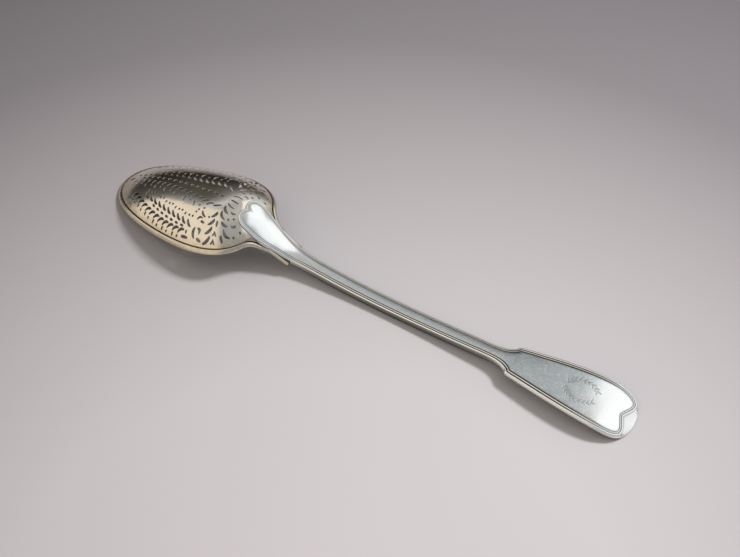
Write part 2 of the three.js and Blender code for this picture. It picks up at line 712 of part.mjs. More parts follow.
// Palm beside the drop: leaves on both sides of a stem across the bowl, and a scroll at its tip side
function palm() {
  const stem = [onBowl(0.758, 0.337), onBowl(0.765, 0.54), onBowl(0.779, 0.727)];
  const tipwards = alongStem(stem, 4, (place, heading, i) => [
    leaf(place, heading + 33 + 5 * i, (0.85 + 0.04 * i) * PALM_LENGTH, PALM_WIDTH, -0.12),
  ]);
  const heelwards = [
    leaf(onBowl(0.772, 0.165), 42, PALM_LENGTH, PALM_WIDTH, 0.17),
    leaf(onBowl(0.773, 0.285), 42, PALM_LENGTH, PALM_WIDTH, 0.17),
    leaf(onBowl(0.802, 0.452), 4, 0.8 * PALM_LENGTH, PALM_WIDTH, 0.15),
    leaf(onBowl(0.831, 0.536), 15, PALM_LENGTH, PALM_WIDTH, 0.22),
    leaf(onBowl(0.83, 0.636), 44, 0.65 * PALM_LENGTH, PALM_WIDTH, 0),
    leaf(onBowl(0.781, 0.47), 74, 0.6 * PALM_LENGTH, STROKE_WIDTH, 0),
  ];
  const smiles = [
    leaf(onBowl(0.817, 0.212), -12, 0.55 * PALM_LENGTH, STROKE_WIDTH, 0.25),
    leaf(onBowl(0.856, 0.42), -45, 0.55 * PALM_LENGTH, STROKE_WIDTH, 0.28),
  ];
  const arrows = [onBowl(0.793, 0.622), onBowl(0.8, 0.73)].map((tip) => arrow(tip, 74));
  const scroll = [
    leaf(onBowl(0.675, 0.703), 69, 0.9 * PALM_LENGTH, PALM_WIDTH, 0.18),
    leaf(onBowl(0.692, 0.699), 50, 0.6 * PALM_LENGTH, PALM_WIDTH, -0.28),
    leaf(onBowl(0.707, 0.83), 11, 0.6 * PALM_LENGTH, STROKE_WIDTH, 0),
  ];
  const tendrils = [
    leaf(onBowl(0.671, 0.423), 36, 0.9 * PALM_LENGTH, STROKE_WIDTH, 0.1),
    leaf(onBowl(0.667, 0.591), -28, 0.65 * PALM_LENGTH, STROKE_WIDTH, -0.25),
    leaf(onBowl(0.692, 0.592), 5, 0.5 * PALM_LENGTH, STROKE_WIDTH, 0),
    leaf(onBowl(0.711, 0.266), -31, 0.9 * PALM_LENGTH, STROKE_WIDTH, 0),
  ];
  const holes = [
    onBowl(0.852, 0.295),
    onBowl(0.828, 0.36),
    onBowl(0.912, 0.404),
    onBowl(0.895, 0.537),
    onBowl(0.727, 0.482),
    onBowl(0.647, 0.425),
    onBowl(0.64, 0.478),
  ].map(roundHole);
  return [...holes, ...tipwards, ...heelwards, ...smiles, ...arrows, ...scroll, ...tendrils];
}

// On the middle line: a leaf at the tip, and a row of strokes
function middleLine() {
  const tipLeaf = leaf(onBowl(0.045, 0), 0, HOOK_LENGTH, HOOK_WIDTH, 0);
  const stem = [onBowl(0.14, 0), onBowl(0.4, 0), onBowl(0.64, 0)];
  const strokes = alongStem(stem, 11, (place) => [stroke(place, 0, STROKE_LENGTH)]);
  return [tipLeaf, ...strokes];
}

function ornament() {
  const half = [...rimSpray(), ...middleSpray(), ...feather(), ...palm()];
  const otherHalf = half.map((outline) => outline.map((point) => plan(point.x, -point.y)));
  return [...half, ...otherHalf, ...middleLine()];
}

function gapToSegment(point, from, to) {
  const closest = new THREE.Line3(
    new THREE.Vector3(from.x, from.y, 0),
    new THREE.Vector3(to.x, to.y, 0),
  ).closestPointToPoint(new THREE.Vector3(point.x, point.y, 0), true, new THREE.Vector3());
  return Math.hypot(closest.x - point.x, closest.y - point.y);
}

function gapToOutline(point, outline) {
  const gaps = outline.map((from, i) => gapToSegment(point, from, outline[(i + 1) % outline.length]));
  return Math.min(...gaps);
}

function isInside(point, outline) {
  return outline.reduce((inside, a, i) => {
    const b = outline[(i + 1) % outline.length];
    const spans = a.y > point.y !== b.y > point.y;
    const reach = ((b.x - a.x) * (point.y - a.y)) / (b.y - a.y) + a.x;
    return spans && point.x < reach ? !inside : inside;
  }, false);
}

function gapBetween(one, other) {
  const there = one.map((point) => gapToOutline(point, other));
  const back = other.map((point) => gapToOutline(point, one));
  return Math.min(...there, ...back);
}

const lipOutline = Array.from({ length: LIP_POINTS }, (_, i) => {
  const turn = (2 * Math.PI * i) / LIP_POINTS;
  const half = rimInset(turn <= Math.PI ? turn : 2 * Math.PI - turn, lipInset);
  return plan(half.x, turn <= Math.PI ? half.y : -half.y);
}).reverse();

function dropOutline() {
  const half = handleOutline
    .filter(({ lapped }) => lapped)
    .flatMap(({ edge, steps }) =>
      Array.from({ length: steps + 1 }, (_, i) => edge.getPoint(i / steps)),
    );
  return [...half, ...half.map((p) => plan(p.x, -p.y)).reverse()];
}

// Openings in the order drawn. One that would leave too little metal beside another is left out.
function openings() {
  const drop = dropOutline();
  const cut = [];
  for (const outline of ornament()) {
    const onSheet = outline.every(
      (point) =>
        isInside(point, lipOutline) &&
        gapToOutline(point, lipOutline) > MARGIN &&
        !isInside(point, drop) &&
        gapToOutline(point, drop) > MARGIN,
    );
    const isClear = cut.every(
      (other) =>
        outline[0].distanceTo(other[0]) > 3 * HOOK_LENGTH ||
        (gapBetween(outline, other) > WEB && !isInside(outline[0], other)),
    );
    if (onSheet && isClear) cut.push(outline);
  }
  return cut;
}

// Points that fill the plain places, so that the flat sheet can be raised smoothly.
// They spiral out like sunflower seeds, which keeps any three of them out of line.
function fillPoints(outlines) {
  const points = [];
  const goldenAngle = Math.PI * (3 - Math.sqrt(5));
  const furthest = Math.hypot(BOWL_LENGTH, BOWL_WIDTH) / 2;
  for (let i = 0; ; i += 1) {
    const away = FILL_SPACING * Math.sqrt((i + 0.5) / Math.PI);
    if (away > furthest) return points;
    const spoke = plan(away, 0).rotateAround(plan(0, 0), i * goldenAngle);
    const point = onBowl(0.5, 0).add(spoke);
    const isFree = outlines.every(
      (outline) => gapToOutline(point, outline) > FILL_SPACING / 4 && !isInside(point, outline),
    );
    const isInSheet = isInside(point, lipOutline);
    if (isInSheet && isFree && gapToOutline(point, lipOutline) > FILL_SPACING / 2) {
      points.push(point);
    }
  }
}

// Turns the diagonals of a flat triangulation until every triangle is as even as it can be
function evenOut(points, faces, fixedEdges) {
  const key = (a, b) => (a < b ? `${a} ${b}` : `${b} ${a}`);
  const area = (a, b, c) =>
    points[b].clone().sub(points[a]).cross(points[c].clone().sub(points[a]));
  const angleAt = (apex, a, b) => {
    const one = points[a].clone().sub(points[apex]);
    const other = points[b].clone().sub(points[apex]);
    return Math.atan2(Math.abs(one.cross(other)), one.dot(other));
  };
  const triangles = faces.map(([a, b, c]) => (area(a, b, c) > 0 ? [a, b, c] : [a, c, b]));
  const owners = new Map();
  const sidesOf = ([a, b, c]) => [
    [a, b, c],
    [b, c, a],
    [c, a, b],
  ];
  const register = (index) =>
    sidesOf(triangles[index]).forEach(([a, b]) => {
      const id = key(a, b);
      owners.set(id, [...(owners.get(id) ?? []), index]);
    });
  const forget = (index) =>
    sidesOf(triangles[index]).forEach(([a, b]) => {
      const id = key(a, b);
      owners.set(id, owners.get(id).filter((owner) => owner !== index));
    });
  triangles.forEach((_, index) => register(index));
  const fixed = new Set(fixedEdges.map(([a, b]) => key(a, b)));
  const waiting = [...owners.keys()];
  while (waiting.length) {
    const id = waiting.pop();
    const pair = owners.get(id) ?? [];
    if (fixed.has(id) || pair.length !== 2) continue;
    const [a, b, c] = sidesOf(triangles[pair[0]]).find(([p, q]) => key(p, q) === id);
    const d = triangles[pair[1]].find((corner) => corner !== a && corner !== b);
    const isConvex = area(c, a, d) > 1e-9 && area(c, d, b) > 1e-9;
    if (!isConvex || angleAt(c, a, b) + angleAt(d, a, b) <= Math.PI + 1e-6) continue;
    pair.forEach(forget);
    triangles[pair[0]] = [c, a, d];
    triangles[pair[1]] = [c, d, b];
    pair.forEach(register);
    waiting.push(key(a, c), key(a, d), key(b, c), key(b, d));
  }
  return triangles;
}

// Pierced bowl: the sheet is cut flat, as an outline with openings, and then raised over the back
function bowlTriangles() {
  const contour = THREE.ShapeUtils.isClockWise(lipOutline) ? [...lipOutline].reverse() : lipOutline;
  const holes = openings().map((outline) =>
    THREE.ShapeUtils.isClockWise(outline) ? outline : [...outline].reverse(),
  );
  const fill = fillPoints(holes);
  const loops = [contour, ...holes];
  const points = [...loops.flat(), ...fill];
  const faces = THREE.ShapeUtils.triangulateShape(
    [...contour],
    [...holes.map((hole) => [...hole]), ...fill.map((point) => [point])],
  );
  let first = 0;
  const edges = loops.flatMap((loop) => {
    const start = first;
    first += loop.length;
    return loop.map((_, i) => [start + i, start + ((i + 1) % loop.length)]);
  });
  const outside = points.map(onBack);
  const inside = points.map((point, i) => {
    const step = 0.05;
    const rise = (u, v) => (backHeight(point.x + u, point.y + v) - outside[i].z) / step;
    const normal = new THREE.Vector3(-rise(step, 0), -rise(0, step), 1).normalize();
    return outside[i].clone().addScaledVector(normal, -SHEET);
  });
  const triangles = [];
  for (const [a, b, c] of evenOut(points, faces, edges)) {
    triangles.push([outside[a], outside[b], outside[c]]);
    triangles.push([inside[a], inside[c], inside[b]]);
  }
  for (const [a, b] of edges) {
    triangles.push([outside[a], inside[a], inside[b]]);
    triangles.push([outside[a], inside[b], outside[b]]);
  }
  return triangles;
}

// Materials: old silver, brighter where it is handled and darker in the bowl's openings
function silver(colour, roughness) {
  return new THREE.MeshStandardMaterial({ color: colour, metalness: 1, roughness });
}

const spoon = new THREE.Group();
spoon.name = "olive_spoon";
spoon.add(
  meshFrom("pierced_bowl", bowlTriangles(), silver(0xc8c4b6, 0.26)),
  meshFrom("rim_wire", wireTriangles(), silver(0xcfc8b2, 0.24)),
  meshFrom("neck_plate", plateTriangles(), silver(0xb9b4a4, 0.34)),
  meshFrom("handle", handleTriangles(), silver(0xd0cec6, 0.22)),
);

export default spoon;
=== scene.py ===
# %% [markdown]
# # Olive spoon
# A long silver spoon that lifts olives out of their jar and lets the brine run off. Its bowl is pierced
# with sprays of leaves, a drawn wire strengthens the lip, and the handle is a forging with double threads.
# It lies bowl down on pale paper. Everything here is in metres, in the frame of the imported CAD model, and
# sizes are typed in millimetres with the names that a silversmith would use.

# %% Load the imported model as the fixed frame
import contextlib
import math

import bpy
import numpy as np
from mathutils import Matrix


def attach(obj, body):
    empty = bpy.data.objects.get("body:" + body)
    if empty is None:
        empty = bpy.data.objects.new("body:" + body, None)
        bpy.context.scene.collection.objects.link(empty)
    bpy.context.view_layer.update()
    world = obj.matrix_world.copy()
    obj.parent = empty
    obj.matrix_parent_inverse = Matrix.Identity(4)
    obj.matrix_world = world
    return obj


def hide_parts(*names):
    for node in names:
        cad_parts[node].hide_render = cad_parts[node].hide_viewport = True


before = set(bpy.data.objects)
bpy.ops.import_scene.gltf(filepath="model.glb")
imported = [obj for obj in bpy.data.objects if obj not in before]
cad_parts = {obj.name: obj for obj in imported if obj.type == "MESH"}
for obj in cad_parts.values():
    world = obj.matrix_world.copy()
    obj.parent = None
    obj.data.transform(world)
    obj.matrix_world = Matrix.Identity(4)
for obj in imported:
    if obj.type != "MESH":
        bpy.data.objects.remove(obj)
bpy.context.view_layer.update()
MM = 0.001
print("pieces in the frame:", sorted(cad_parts))

# %% [markdown]
# ## Sizes
# A mirror shows every flat of a coarse mesh, so each piece is made again here as a fine one. Most sizes are
# those of its solid, and a few small forms follow the real spoon more closely. "Along" is the distance from
# the bowl's tip, and "side" the distance from the middle line.

# %% Sizes of the bowl and its wire, in millimetres
LENGTH = 302
SEAM = 0.35
BOWL_LENGTH = 92.7
BOWL_WIDTH = 57.2
BOWL_EGG = 0.212
BOWL_FULLNESS = 0.093
BOWL_DEPTH = 17.1
BOWL_CREST = 0.621 * BOWL_LENGTH
BOWL_ROUNDNESS = 2.7
SHEET = 0.8
EDGE_ROUND = 0.3
RIM_HEIGHT_TIP = 0.35
RIM_HEIGHT_HEEL = 16.4
RIM_SAG = 0.5
BAND_WIDTH = 1.8
BAND_THICKNESS = 1.7
BAND_PROUD = 0.4
BAND_SQUARENESS = 0.7
LEAVES_RIM = math.radians(155)
LEG_TURN_LENGTH = 8.5
NECK_WIDTH = 15.2
NECK_PINCH = 4
NECK_BLEND = 7
NECK_BLEND_INSIDE = 1
NECK_EASE = 5
LUG_WIDTH = 14.4
LEG_DROP_OUTER = 0.3
LEG_DROP_INNER = 0.1
PLATE_THICKNESS = 1.6
PLATE_CLEARANCE = 0.4
LIP_INSET = BAND_WIDTH + SEAM
print(f"bowl: {BOWL_LENGTH} by {BOWL_WIDTH} mm, {BOWL_DEPTH} mm deep")

# %% Sizes of the handle, in millimetres
DROP_LENGTH = 13
DROP_WIDTH = 17.9
DROP_NOTCH = 1.2
LOBE_LENGTH = 6.2
LOBE_SWELL = 1.0
NECK_LENGTH = 17.3
SHOULDER_WIDTH = 10
STEM_WIDTH = 8.6
STEM_TAPER = 16
FIDDLE_LENGTH = 80
CORNER_FROM_END = 65.6
CORNER_WIDTH = 18.2
CORNER_ROUND = 2.6
FIDDLE_WIDTH = 29.3
END_ROUND = 18
STEP_LEAN = 0.006
LAP = 1.1
STEM_DEPTH = 3.4
FIDDLE_DEPTH = 2.5
NECK_CROWN = 0.9
DROP_RISE = 1.0
STEM_RISE = 0.75
FIDDLE_RISE = 0.9
SHOULDER_HEIGHT = 8.2
STEM_DIP = 55
STEM_DIP_HEIGHT = 3.85
FIDDLE_CREST = 42
FIDDLE_CREST_HEIGHT = 7.5
END_HEIGHT = 1.7
END_BEND = 16
OUTER_THREAD = 1.1
OUTER_THREAD_HEIGHT = 0.45
INNER_THREAD = 0.65
INNER_THREAD_HEIGHT = 0.3
GROOVE = 0.45
GROOVE_DEPTH = 0.14
EDGE = 0.25
THREAD_SHARE = 0.55
STEM_THREAD_SHARE = 0.75
DROP_THREAD_SHARE = 0.4
END_DROP = 0.16
DROP_THREAD_FULLNESS = 0.62
STEM_THREAD_FULLNESS = 0.78
END_THREAD_FULLNESS = 0.78
PANEL_POLE = 6.6
ACCOLADE_LOBE = 2.6
ACCOLADE_LOBE_WIDTH = 16.6
ACCOLADE_NOTCH = 5.6
SHOULDER = BOWL_LENGTH + NECK_LENGTH
DROP_FRONT = BOWL_LENGTH - DROP_LENGTH
STEM_START = SHOULDER + STEM_TAPER
STEM_END = LENGTH - FIDDLE_LENGTH
CORNER = LENGTH - CORNER_FROM_END
print(f"handle: stem {STEM_WIDTH} mm wide, fiddle {FIDDLE_WIDTH} mm, in a spoon of {LENGTH} mm")


# %% [markdown]
# ## Small tools
# A silversmith lays out a shape as a net of points and then raises the metal over it. `net` does the same:
# it adds a grid, which Blender makes row by row, and moves its points to their places. A Mirror modifier
# makes the other half, and merging closes the seam on the middle line.


# %% Curves and smooth steps
def lerp(start, end, share):
    return start + (end - start) * share


def smoothstep(value, low, high):
    share = np.clip((value - low) / (high - low), 0, 1)
    return share * share * (3 - 2 * share)


def unit(vectors):
    return vectors / np.linalg.norm(vectors, axis=-1, keepdims=True)


def smooth_through(*pairs):
    """A smooth function through a few pairs of place and value, flat beyond the first and the last."""
    places, values = np.array(pairs, float).T
    last = len(pairs) - 1
    before = np.maximum(np.arange(len(pairs)) - 1, 0)
    after = np.minimum(np.arange(len(pairs)) + 1, last)
    slopes = (values[after] - values[before]) / (places[after] - places[before])

    def at(place):
        left = np.clip(np.searchsorted(places, place) - 1, 0, last - 1)
        span = places[left + 1] - places[left]
        share = np.clip((place - places[left]) / span, 0, 1)
        start = values[left] * (1 + 2 * share) * (1 - share) ** 2
        end = values[left + 1] * (3 - 2 * share) * share**2
        turn = slopes[left] * (1 - share) - slopes[left + 1] * share
        return start + end + span * share * (1 - share) * turn

    return at


def bend(start, leaving, arriving, end):
    """A Bezier curve as a function of its share, which gives points and directions in plan."""
    start, leaving, arriving, end = np.array([start, leaving, arriving, end], float)

    def at(share):
        done = np.atleast_1d(share)[:, None]
        left = 1 - done
        points = start * left**3 + 3 * leaving * done * left**2
        points = points + 3 * arriving * done**2 * left + end * done**3
        ways = (leaving - start) * left**2 + 2 * (arriving - leaving) * done * left
        ways = ways + (end - arriving) * done**2
        return points, unit(ways)

    return at


def sweep(start, end, leaving, arriving):
    """A bend whose two inner points are shares, along and to the side, of the way between its ends."""
    start, end = np.array([start, end], float)
    return bend(start, lerp(start, end, np.array(leaving)), lerp(start, end, np.array(arriving)), end)


def right_of(ways):
    return np.stack([ways[:, 1], -ways[:, 0]], 1)


# %% Nets of points, mirrored and merged
MERGE_GAP = 0.002 * MM


def only(piece):
    """Selects this piece alone, so that an operator acts on nothing else."""
    bpy.ops.object.select_all(action="DESELECT")
    piece.select_set(True)
    bpy.context.view_layer.objects.active = piece


@contextlib.contextmanager
def editing(piece):
    """Edit mode, with the whole piece selected, for the lines under a with statement."""
    only(piece)
    bpy.ops.object.mode_set(mode="EDIT")
    bpy.ops.mesh.select_all(action="SELECT")
    yield
    bpy.ops.object.mode_set(mode="OBJECT")


def extrude_up(height):
    bpy.ops.mesh.extrude_region_move(TRANSFORM_OT_translate={"value": (0, 0, height * MM)})


def face_outwards():
    bpy.ops.mesh.select_all(action="SELECT")
    bpy.ops.mesh.normals_make_consistent(inside=False)


def place_points(piece, points):
    """Moves a piece's points to places in millimetres, with the bowl's tip at 0."""
    places = np.array(points, float).reshape(-1, 3) - (LENGTH / 2, 0, 0)
    piece.data.vertices.foreach_set("co", (places * MM).ravel())
    piece.data.update()


def points_of(piece):
    """A piece's points in millimetres, with the bowl's tip at 0."""
    points = np.zeros(len(piece.data.vertices) * 3)
    piece.data.vertices.foreach_get("co", points)
    return points.reshape(-1, 3) / MM + (LENGTH / 2, 0, 0)


def net(name, points):
    """A grid of rows and columns, each point at its own place."""
    rows, columns = points.shape[:2]
    bpy.ops.mesh.primitive_grid_add(x_subdivisions=columns - 1, y_subdivisions=rows - 1, size=1)
    piece = bpy.context.object
    piece.name = piece.data.name = name
    place_points(piece, points)
    return piece


def apply(piece, kind, **settings):
    only(piece)
    modifier = piece.modifiers.new(kind.lower(), kind)
    for key, value in settings.items():
        setattr(modifier, key, value)
    bpy.ops.object.modifier_apply(modifier=modifier.name)


def mirror(piece):
    apply(piece, "MIRROR", use_axis=(False, True, False), merge_threshold=MERGE_GAP)


def close_up(piece):
    """Merges points that lie together, drops what has no area and turns every face outwards."""
    with editing(piece):
        bpy.ops.mesh.remove_doubles(threshold=MERGE_GAP)
        bpy.ops.mesh.dissolve_degenerate(threshold=MERGE_GAP)
        face_outwards()


def shade(piece, sharp_from):
    """Smooth shading, apart from edges that are sharper than an angle in degrees."""
    only(piece)
    bpy.ops.object.shade_smooth_by_angle(angle=math.radians(sharp_from))


def keep(piece, name, values, domain="POINT"):
    """Stores a share from 0 to 1 at each point or corner, for the material to read."""
    attribute = piece.data.attributes.new(name, "FLOAT", domain)
    attribute.data.foreach_set("value", np.clip(values, 0, 1).ravel())


def report(piece):
    size = [round(side / MM, 1) for side in piece.dimensions]
    print(f"{piece.name}: {len(piece.data.polygons)} faces, {size} mm")


# %% [markdown]
# ## The bowl's form
# Seen from above the rim is an egg, and it climbs from the tip on the table to the heel. The back is a
# dome over that rim. One function gives its height anywhere, so the bowl, its wire, the neck and the drop
# that lies on it all share one surface.

# %% Rim and back of the bowl
turns = np.linspace(0, math.pi, 4001)
egg = np.sin(turns) * (1 - BOWL_EGG * np.cos(turns) + BOWL_FULLNESS * np.cos(2 * turns))
egg_along = BOWL_LENGTH / 2 * (1 - np.cos(turns))
egg_side = BOWL_WIDTH / 2 * egg / egg.max()
egg_facing = np.arctan2(egg_side, egg_along - BOWL_CREST)
egg_reach = np.hypot(egg_along - BOWL_CREST, egg_side)


def rim_plan(turn):
    return np.stack([np.interp(turn, turns, egg_along), np.interp(turn, turns, egg_side)], -1)


def rim_ways(turn):
    step = 2e-3
    ways = rim_plan(np.minimum(turn + step, math.pi)) - rim_plan(np.maximum(turn - step, 0))
    ways[turn < step] = (0, 1)
    ways[turn > math.pi - step] = (0, -1)
    return unit(ways)


def rim_inset(turn, inset):
    return rim_plan(turn) + right_of(rim_ways(turn)) * inset


def rim_height(along):
    share = along / BOWL_LENGTH
    return lerp(RIM_HEIGHT_TIP, RIM_HEIGHT_HEEL, share) - 4 * RIM_SAG * share * (1 - share)


def back_height(along, side):
    facing = np.arctan2(np.abs(side), along - BOWL_CREST)
    reach = np.interp(facing, egg_facing[::-1], egg_reach[::-1])
    out = np.hypot(along - BOWL_CREST, side) / reach
    return rim_height(along) + BOWL_DEPTH * (1 - out**BOWL_ROUNDNESS)


def back_normal(along, side):
    step = 0.05
    rise_along = back_height(along + step, side) - back_height(along - step, side)
    rise_side = back_height(along, side + step) - back_height(along, side - step)
    return unit(np.stack([-rise_along, -rise_side, np.full_like(rise_along, 2 * step)], -1))


print(f"bowl's back is {back_height(BOWL_CREST, 0.0):.1f} mm over the table at its crest")

# %% Side view of the handle, and the seat that it lies on
# Where the painted shade on the handle's walls and ledges starts, light, near the neck.
NECK_LESS_SHADED = SHOULDER - 4
WORN_TO = LENGTH - 30
POLISHED_FROM = LENGTH - 18
WIPED_FROM = LENGTH - 8
edge_height = smooth_through(
    (BOWL_LENGTH, RIM_HEIGHT_HEEL),
    (SHOULDER, SHOULDER_HEIGHT),
    (SHOULDER + STEM_DIP, STEM_DIP_HEIGHT),
    (LENGTH - FIDDLE_CREST, FIDDLE_CREST_HEIGHT),
    (LENGTH - END_BEND, FIDDLE_CREST_HEIGHT - FIDDLE_RISE),
    (LENGTH, END_HEIGHT),
)
middle_rise = smooth_through(
    (DROP_FRONT, DROP_RISE),
    (BOWL_LENGTH, DROP_RISE),
    (SHOULDER, STEM_RISE),
    (STEM_END, STEM_RISE),
    (CORNER, FIDDLE_RISE),
    (LENGTH, FIDDLE_RISE),
)
panel_wear = smooth_through(
    (SHOULDER, 0.1),
    (STEM_START, 0.5),
    (STEM_END - 15, 0.6),
    (CORNER, 1),
    (WORN_TO, 1),
    (POLISHED_FROM, 0.15),
    (LENGTH, 0.1),
)


def by_part(first, start, stem, fiddle):
    """Goes from a start at its first place to one value along the stem and one along the fiddle."""
    stretches = ((STEM_START, stem), (STEM_END, stem), (CORNER, fiddle), (LENGTH, fiddle))
    return smooth_through((first, start), *stretches)


thread_share = by_part(BOWL_LENGTH, DROP_THREAD_SHARE, STEM_THREAD_SHARE, THREAD_SHARE)
# Painted shade: the handle's ledges and walls are darkened in their colour. They are darkest along the stem,
# where they mirror the shadow on the paper, and only a little at the neck and on the fiddle.
wall_painted_shade = by_part(NECK_LESS_SHADED, start=0.1, stem=0.58, fiddle=0.03)
edge_painted_shade = by_part(NECK_LESS_SHADED, start=0.3, stem=0.9, fiddle=0.2)
groove_dirt = smooth_through(
    (DROP_FRONT, 0.4), (SHOULDER, 0.65), (STEM_START, 1), (WORN_TO, 1), (WIPED_FROM, 0.4)
)
thread_fullness = smooth_through(
    (BOWL_LENGTH, DROP_THREAD_FULLNESS),
    (STEM_START, STEM_THREAD_FULLNESS),
    (STEM_END, STEM_THREAD_FULLNESS),
    (CORNER, 1),
    (LENGTH - 2 * END_ROUND, 1),
    (LENGTH, END_THREAD_FULLNESS),
)
wall_depth = smooth_through(
    (SHOULDER, STEM_DEPTH), (STEM_END, STEM_DEPTH), (CORNER, FIDDLE_DEPTH), (LENGTH, FIDDLE_DEPTH)
)


def seat_height(along, side):
    blend_from = BOWL_LENGTH - NECK_BLEND_INSIDE
    to_neck = smoothstep(along, blend_from, blend_from + NECK_BLEND)
    crown = NECK_CROWN * (1 - smoothstep(along, BOWL_LENGTH, SHOULDER))
    across = 2 * side / DROP_WIDTH
    neck = edge_height(along) - LAP - SEAM + crown * (1 - across**2)
    on_bowl = np.minimum(along, blend_from + NECK_BLEND)
    return lerp(back_height(on_bowl, side), neck, to_neck)


def forged_top(along, side):
    return np.where(along < SHOULDER, seat_height(along, side) + SEAM + LAP, edge_height(along))


def handle_top(along, side):
    """The forged top, with the bend between bowl and stem eased as by planishing."""
    ease = NECK_EASE * (1 - smoothstep(along, SHOULDER, STEM_START))
    return np.mean([forged_top(along + ease * share, side) for share in np.linspace(-1, 1, 9)], 0)


def handle_underside(along, side, lapped):
    full = np.maximum(0, edge_height(along) - wall_depth(along))
    return np.where(lapped, seat_height(along, side) + SEAM, full)


print(f"handle's edge is {edge_height(STEM_END):.1f} mm over the table where the stem ends")

# %% [markdown]
# ## Rim wire
# A half-round silver wire is drawn through a plate, bent round the lip and soldered on. At the heel it
# leaves the bowl and follows the neck, where its ends are cut square. Each row of the net is one section
# of the wire, so the band turns with the bowl's back, and what would reach below the table is worn flat.

# %% Make the rim wire
RIM_ROWS = 220
LEG_ROWS = 60
BAND_SIDES = 28
UNDERSIDE_DARKER = 0.5
LEG_DROPPED = 0.6
leg_start = rim_plan(np.array([LEAVES_RIM]))[0]
leg = bend(
    leg_start,
    leg_start + rim_ways(np.array([LEAVES_RIM]))[0] * LEG_TURN_LENGTH,
    (BOWL_LENGTH + NECK_PINCH, NECK_WIDTH / 2),
    (SHOULDER - SEAM, LUG_WIDTH / 2),
)


def leg_inset(share, inset):
    points, ways = leg(share)
    return points + right_of(ways) * inset


def on_leg(share, inset, drop):
    plan = leg_inset(share, inset)
    return np.column_stack([plan, seat_height(*plan.T) - drop * smoothstep(share, 0, LEG_DROPPED)])


def on_back(plan):
    return np.column_stack([plan, back_height(*plan.T)])


rim_turns = np.linspace(0, LEAVES_RIM, RIM_ROWS, endpoint=False)
leg_shares = np.linspace(0, 1, LEG_ROWS)
outer_guide = np.vstack([on_back(rim_plan(rim_turns)), on_leg(leg_shares, 0, LEG_DROP_OUTER)])
inner_guide = np.vstack(
    [on_back(rim_inset(rim_turns, BAND_WIDTH)), on_leg(leg_shares, BAND_WIDTH, LEG_DROP_INNER)]
)
ahead = np.gradient(outer_guide, axis=0)
ahead[0] = (0, 1, 0)
across = inner_guide - outer_guide
band_width = np.linalg.norm(across, axis=1)
across = across / band_width[:, None]
outwards = unit(-np.cross(ahead, across))
angles = np.linspace(0, 2 * math.pi, BAND_SIDES + 1)
section_across = 1 + np.sign(np.cos(angles)) * np.abs(np.cos(angles)) ** BAND_SQUARENESS
section_out = np.sign(np.sin(angles)) * np.abs(np.sin(angles)) ** BAND_SQUARENESS - 1
rings = outer_guide[:, None] + across[:, None] * (band_width[:, None] / 2 * section_across)[..., None]
rings = rings + outwards[:, None] * (BAND_PROUD + BAND_THICKNESS / 2 * section_out)[None, :, None]
rings[..., 2] = np.maximum(rings[..., 2], 0)
rings[0, :, 1] = 0
rim_wire = net("silver_rim_wire", rings)
solder_line = smoothstep(np.cos(angles), 0.72, 0.98)
# The band is made darker towards its underside.
underside = UNDERSIDE_DARKER * smoothstep(-np.sin(angles), 0.1, 0.6)
keep(rim_wire, "patina_and_painted_shade", np.tile(np.maximum(solder_line, underside), (len(rings), 1)))
with editing(rim_wire):
    bpy.ops.mesh.remove_doubles(threshold=MERGE_GAP)
mirror(rim_wire)
with editing(rim_wire):
    bpy.ops.mesh.fill_holes(sides=0)
close_up(rim_wire)
shade(rim_wire, sharp_from=40)
report(rim_wire)

# %% [markdown]
# ## Neck plate
# Under the handle a tang fills the neck between the wire's two legs, from the bowl's lip to the stem. Its
# top follows the handle's seat, so it starts as a curved sheet, which is then extruded down.

# %% Make the neck plate
PLATE_ROWS = 36
PLATE_COLUMNS = 24
PLATE_PAINTED_SHADE = 0.2
HEEL_REACH = math.radians(140)
heel_line = rim_inset(np.linspace(math.pi, HEEL_REACH, 200), BAND_WIDTH)
heel_line[0, 1] = 0


def heel_along(side):
    """Where the plate's front edge lies, one seam behind the bowl's lip."""
    return np.interp(np.abs(side), heel_line[:, 1], heel_line[:, 0])


start_shares = np.linspace(0, 0.4, 401)
beside_wire = leg_inset(start_shares, BAND_WIDTH + PLATE_CLEARANCE)
plate_start = start_shares[np.argmax(beside_wire[:, 0] > heel_along(beside_wire[:, 1]))]
row_shares = np.linspace(0, 1, PLATE_ROWS + 1)[:, None]
corners = leg_inset(lerp(plate_start, 1, row_shares[:, 0]), BAND_WIDTH + PLATE_CLEARANCE)
across_shares = np.linspace(-1, 1, PLATE_COLUMNS + 1)[None]
row_middles = lerp(heel_along(0), corners[:, :1], row_shares)
front_curve = (heel_along(corners[0, 1] * across_shares) - heel_along(0)) / (corners[0, 0] - heel_along(0))
plate_along = lerp(row_middles, corners[:, :1], lerp(front_curve, across_shares**2, row_shares))
plate_side = corners[:, 1:] * across_shares
plate_top = np.stack([plate_along, plate_side, seat_height(plate_along, plate_side)], -1)
neck_plate = net("silver_neck_plate", plate_top)
with editing(neck_plate):
    extrude_up(-PLATE_THICKNESS)
close_up(neck_plate)
# Painted shade: the plate under the handle is darkened for the dark gap at the ends of the wire's legs.
keep(neck_plate, "patina_and_painted_shade", np.full(len(neck_plate.data.vertices), PLATE_PAINTED_SHADE))
shade(neck_plate, sharp_from=40)
report(neck_plate)

# %% [markdown]
# ## Handle
# One forging: a heart-shaped drop that laps over the bowl's back, a narrow stem and a fiddle-shaped end.
# A double thread runs along its edge and turns into an accolade at the end. Half the outline is a chain of
# curves. At each place along it, one row of the net runs from the middle line over the panel, across the
# threads, down the wall and back under the handle.

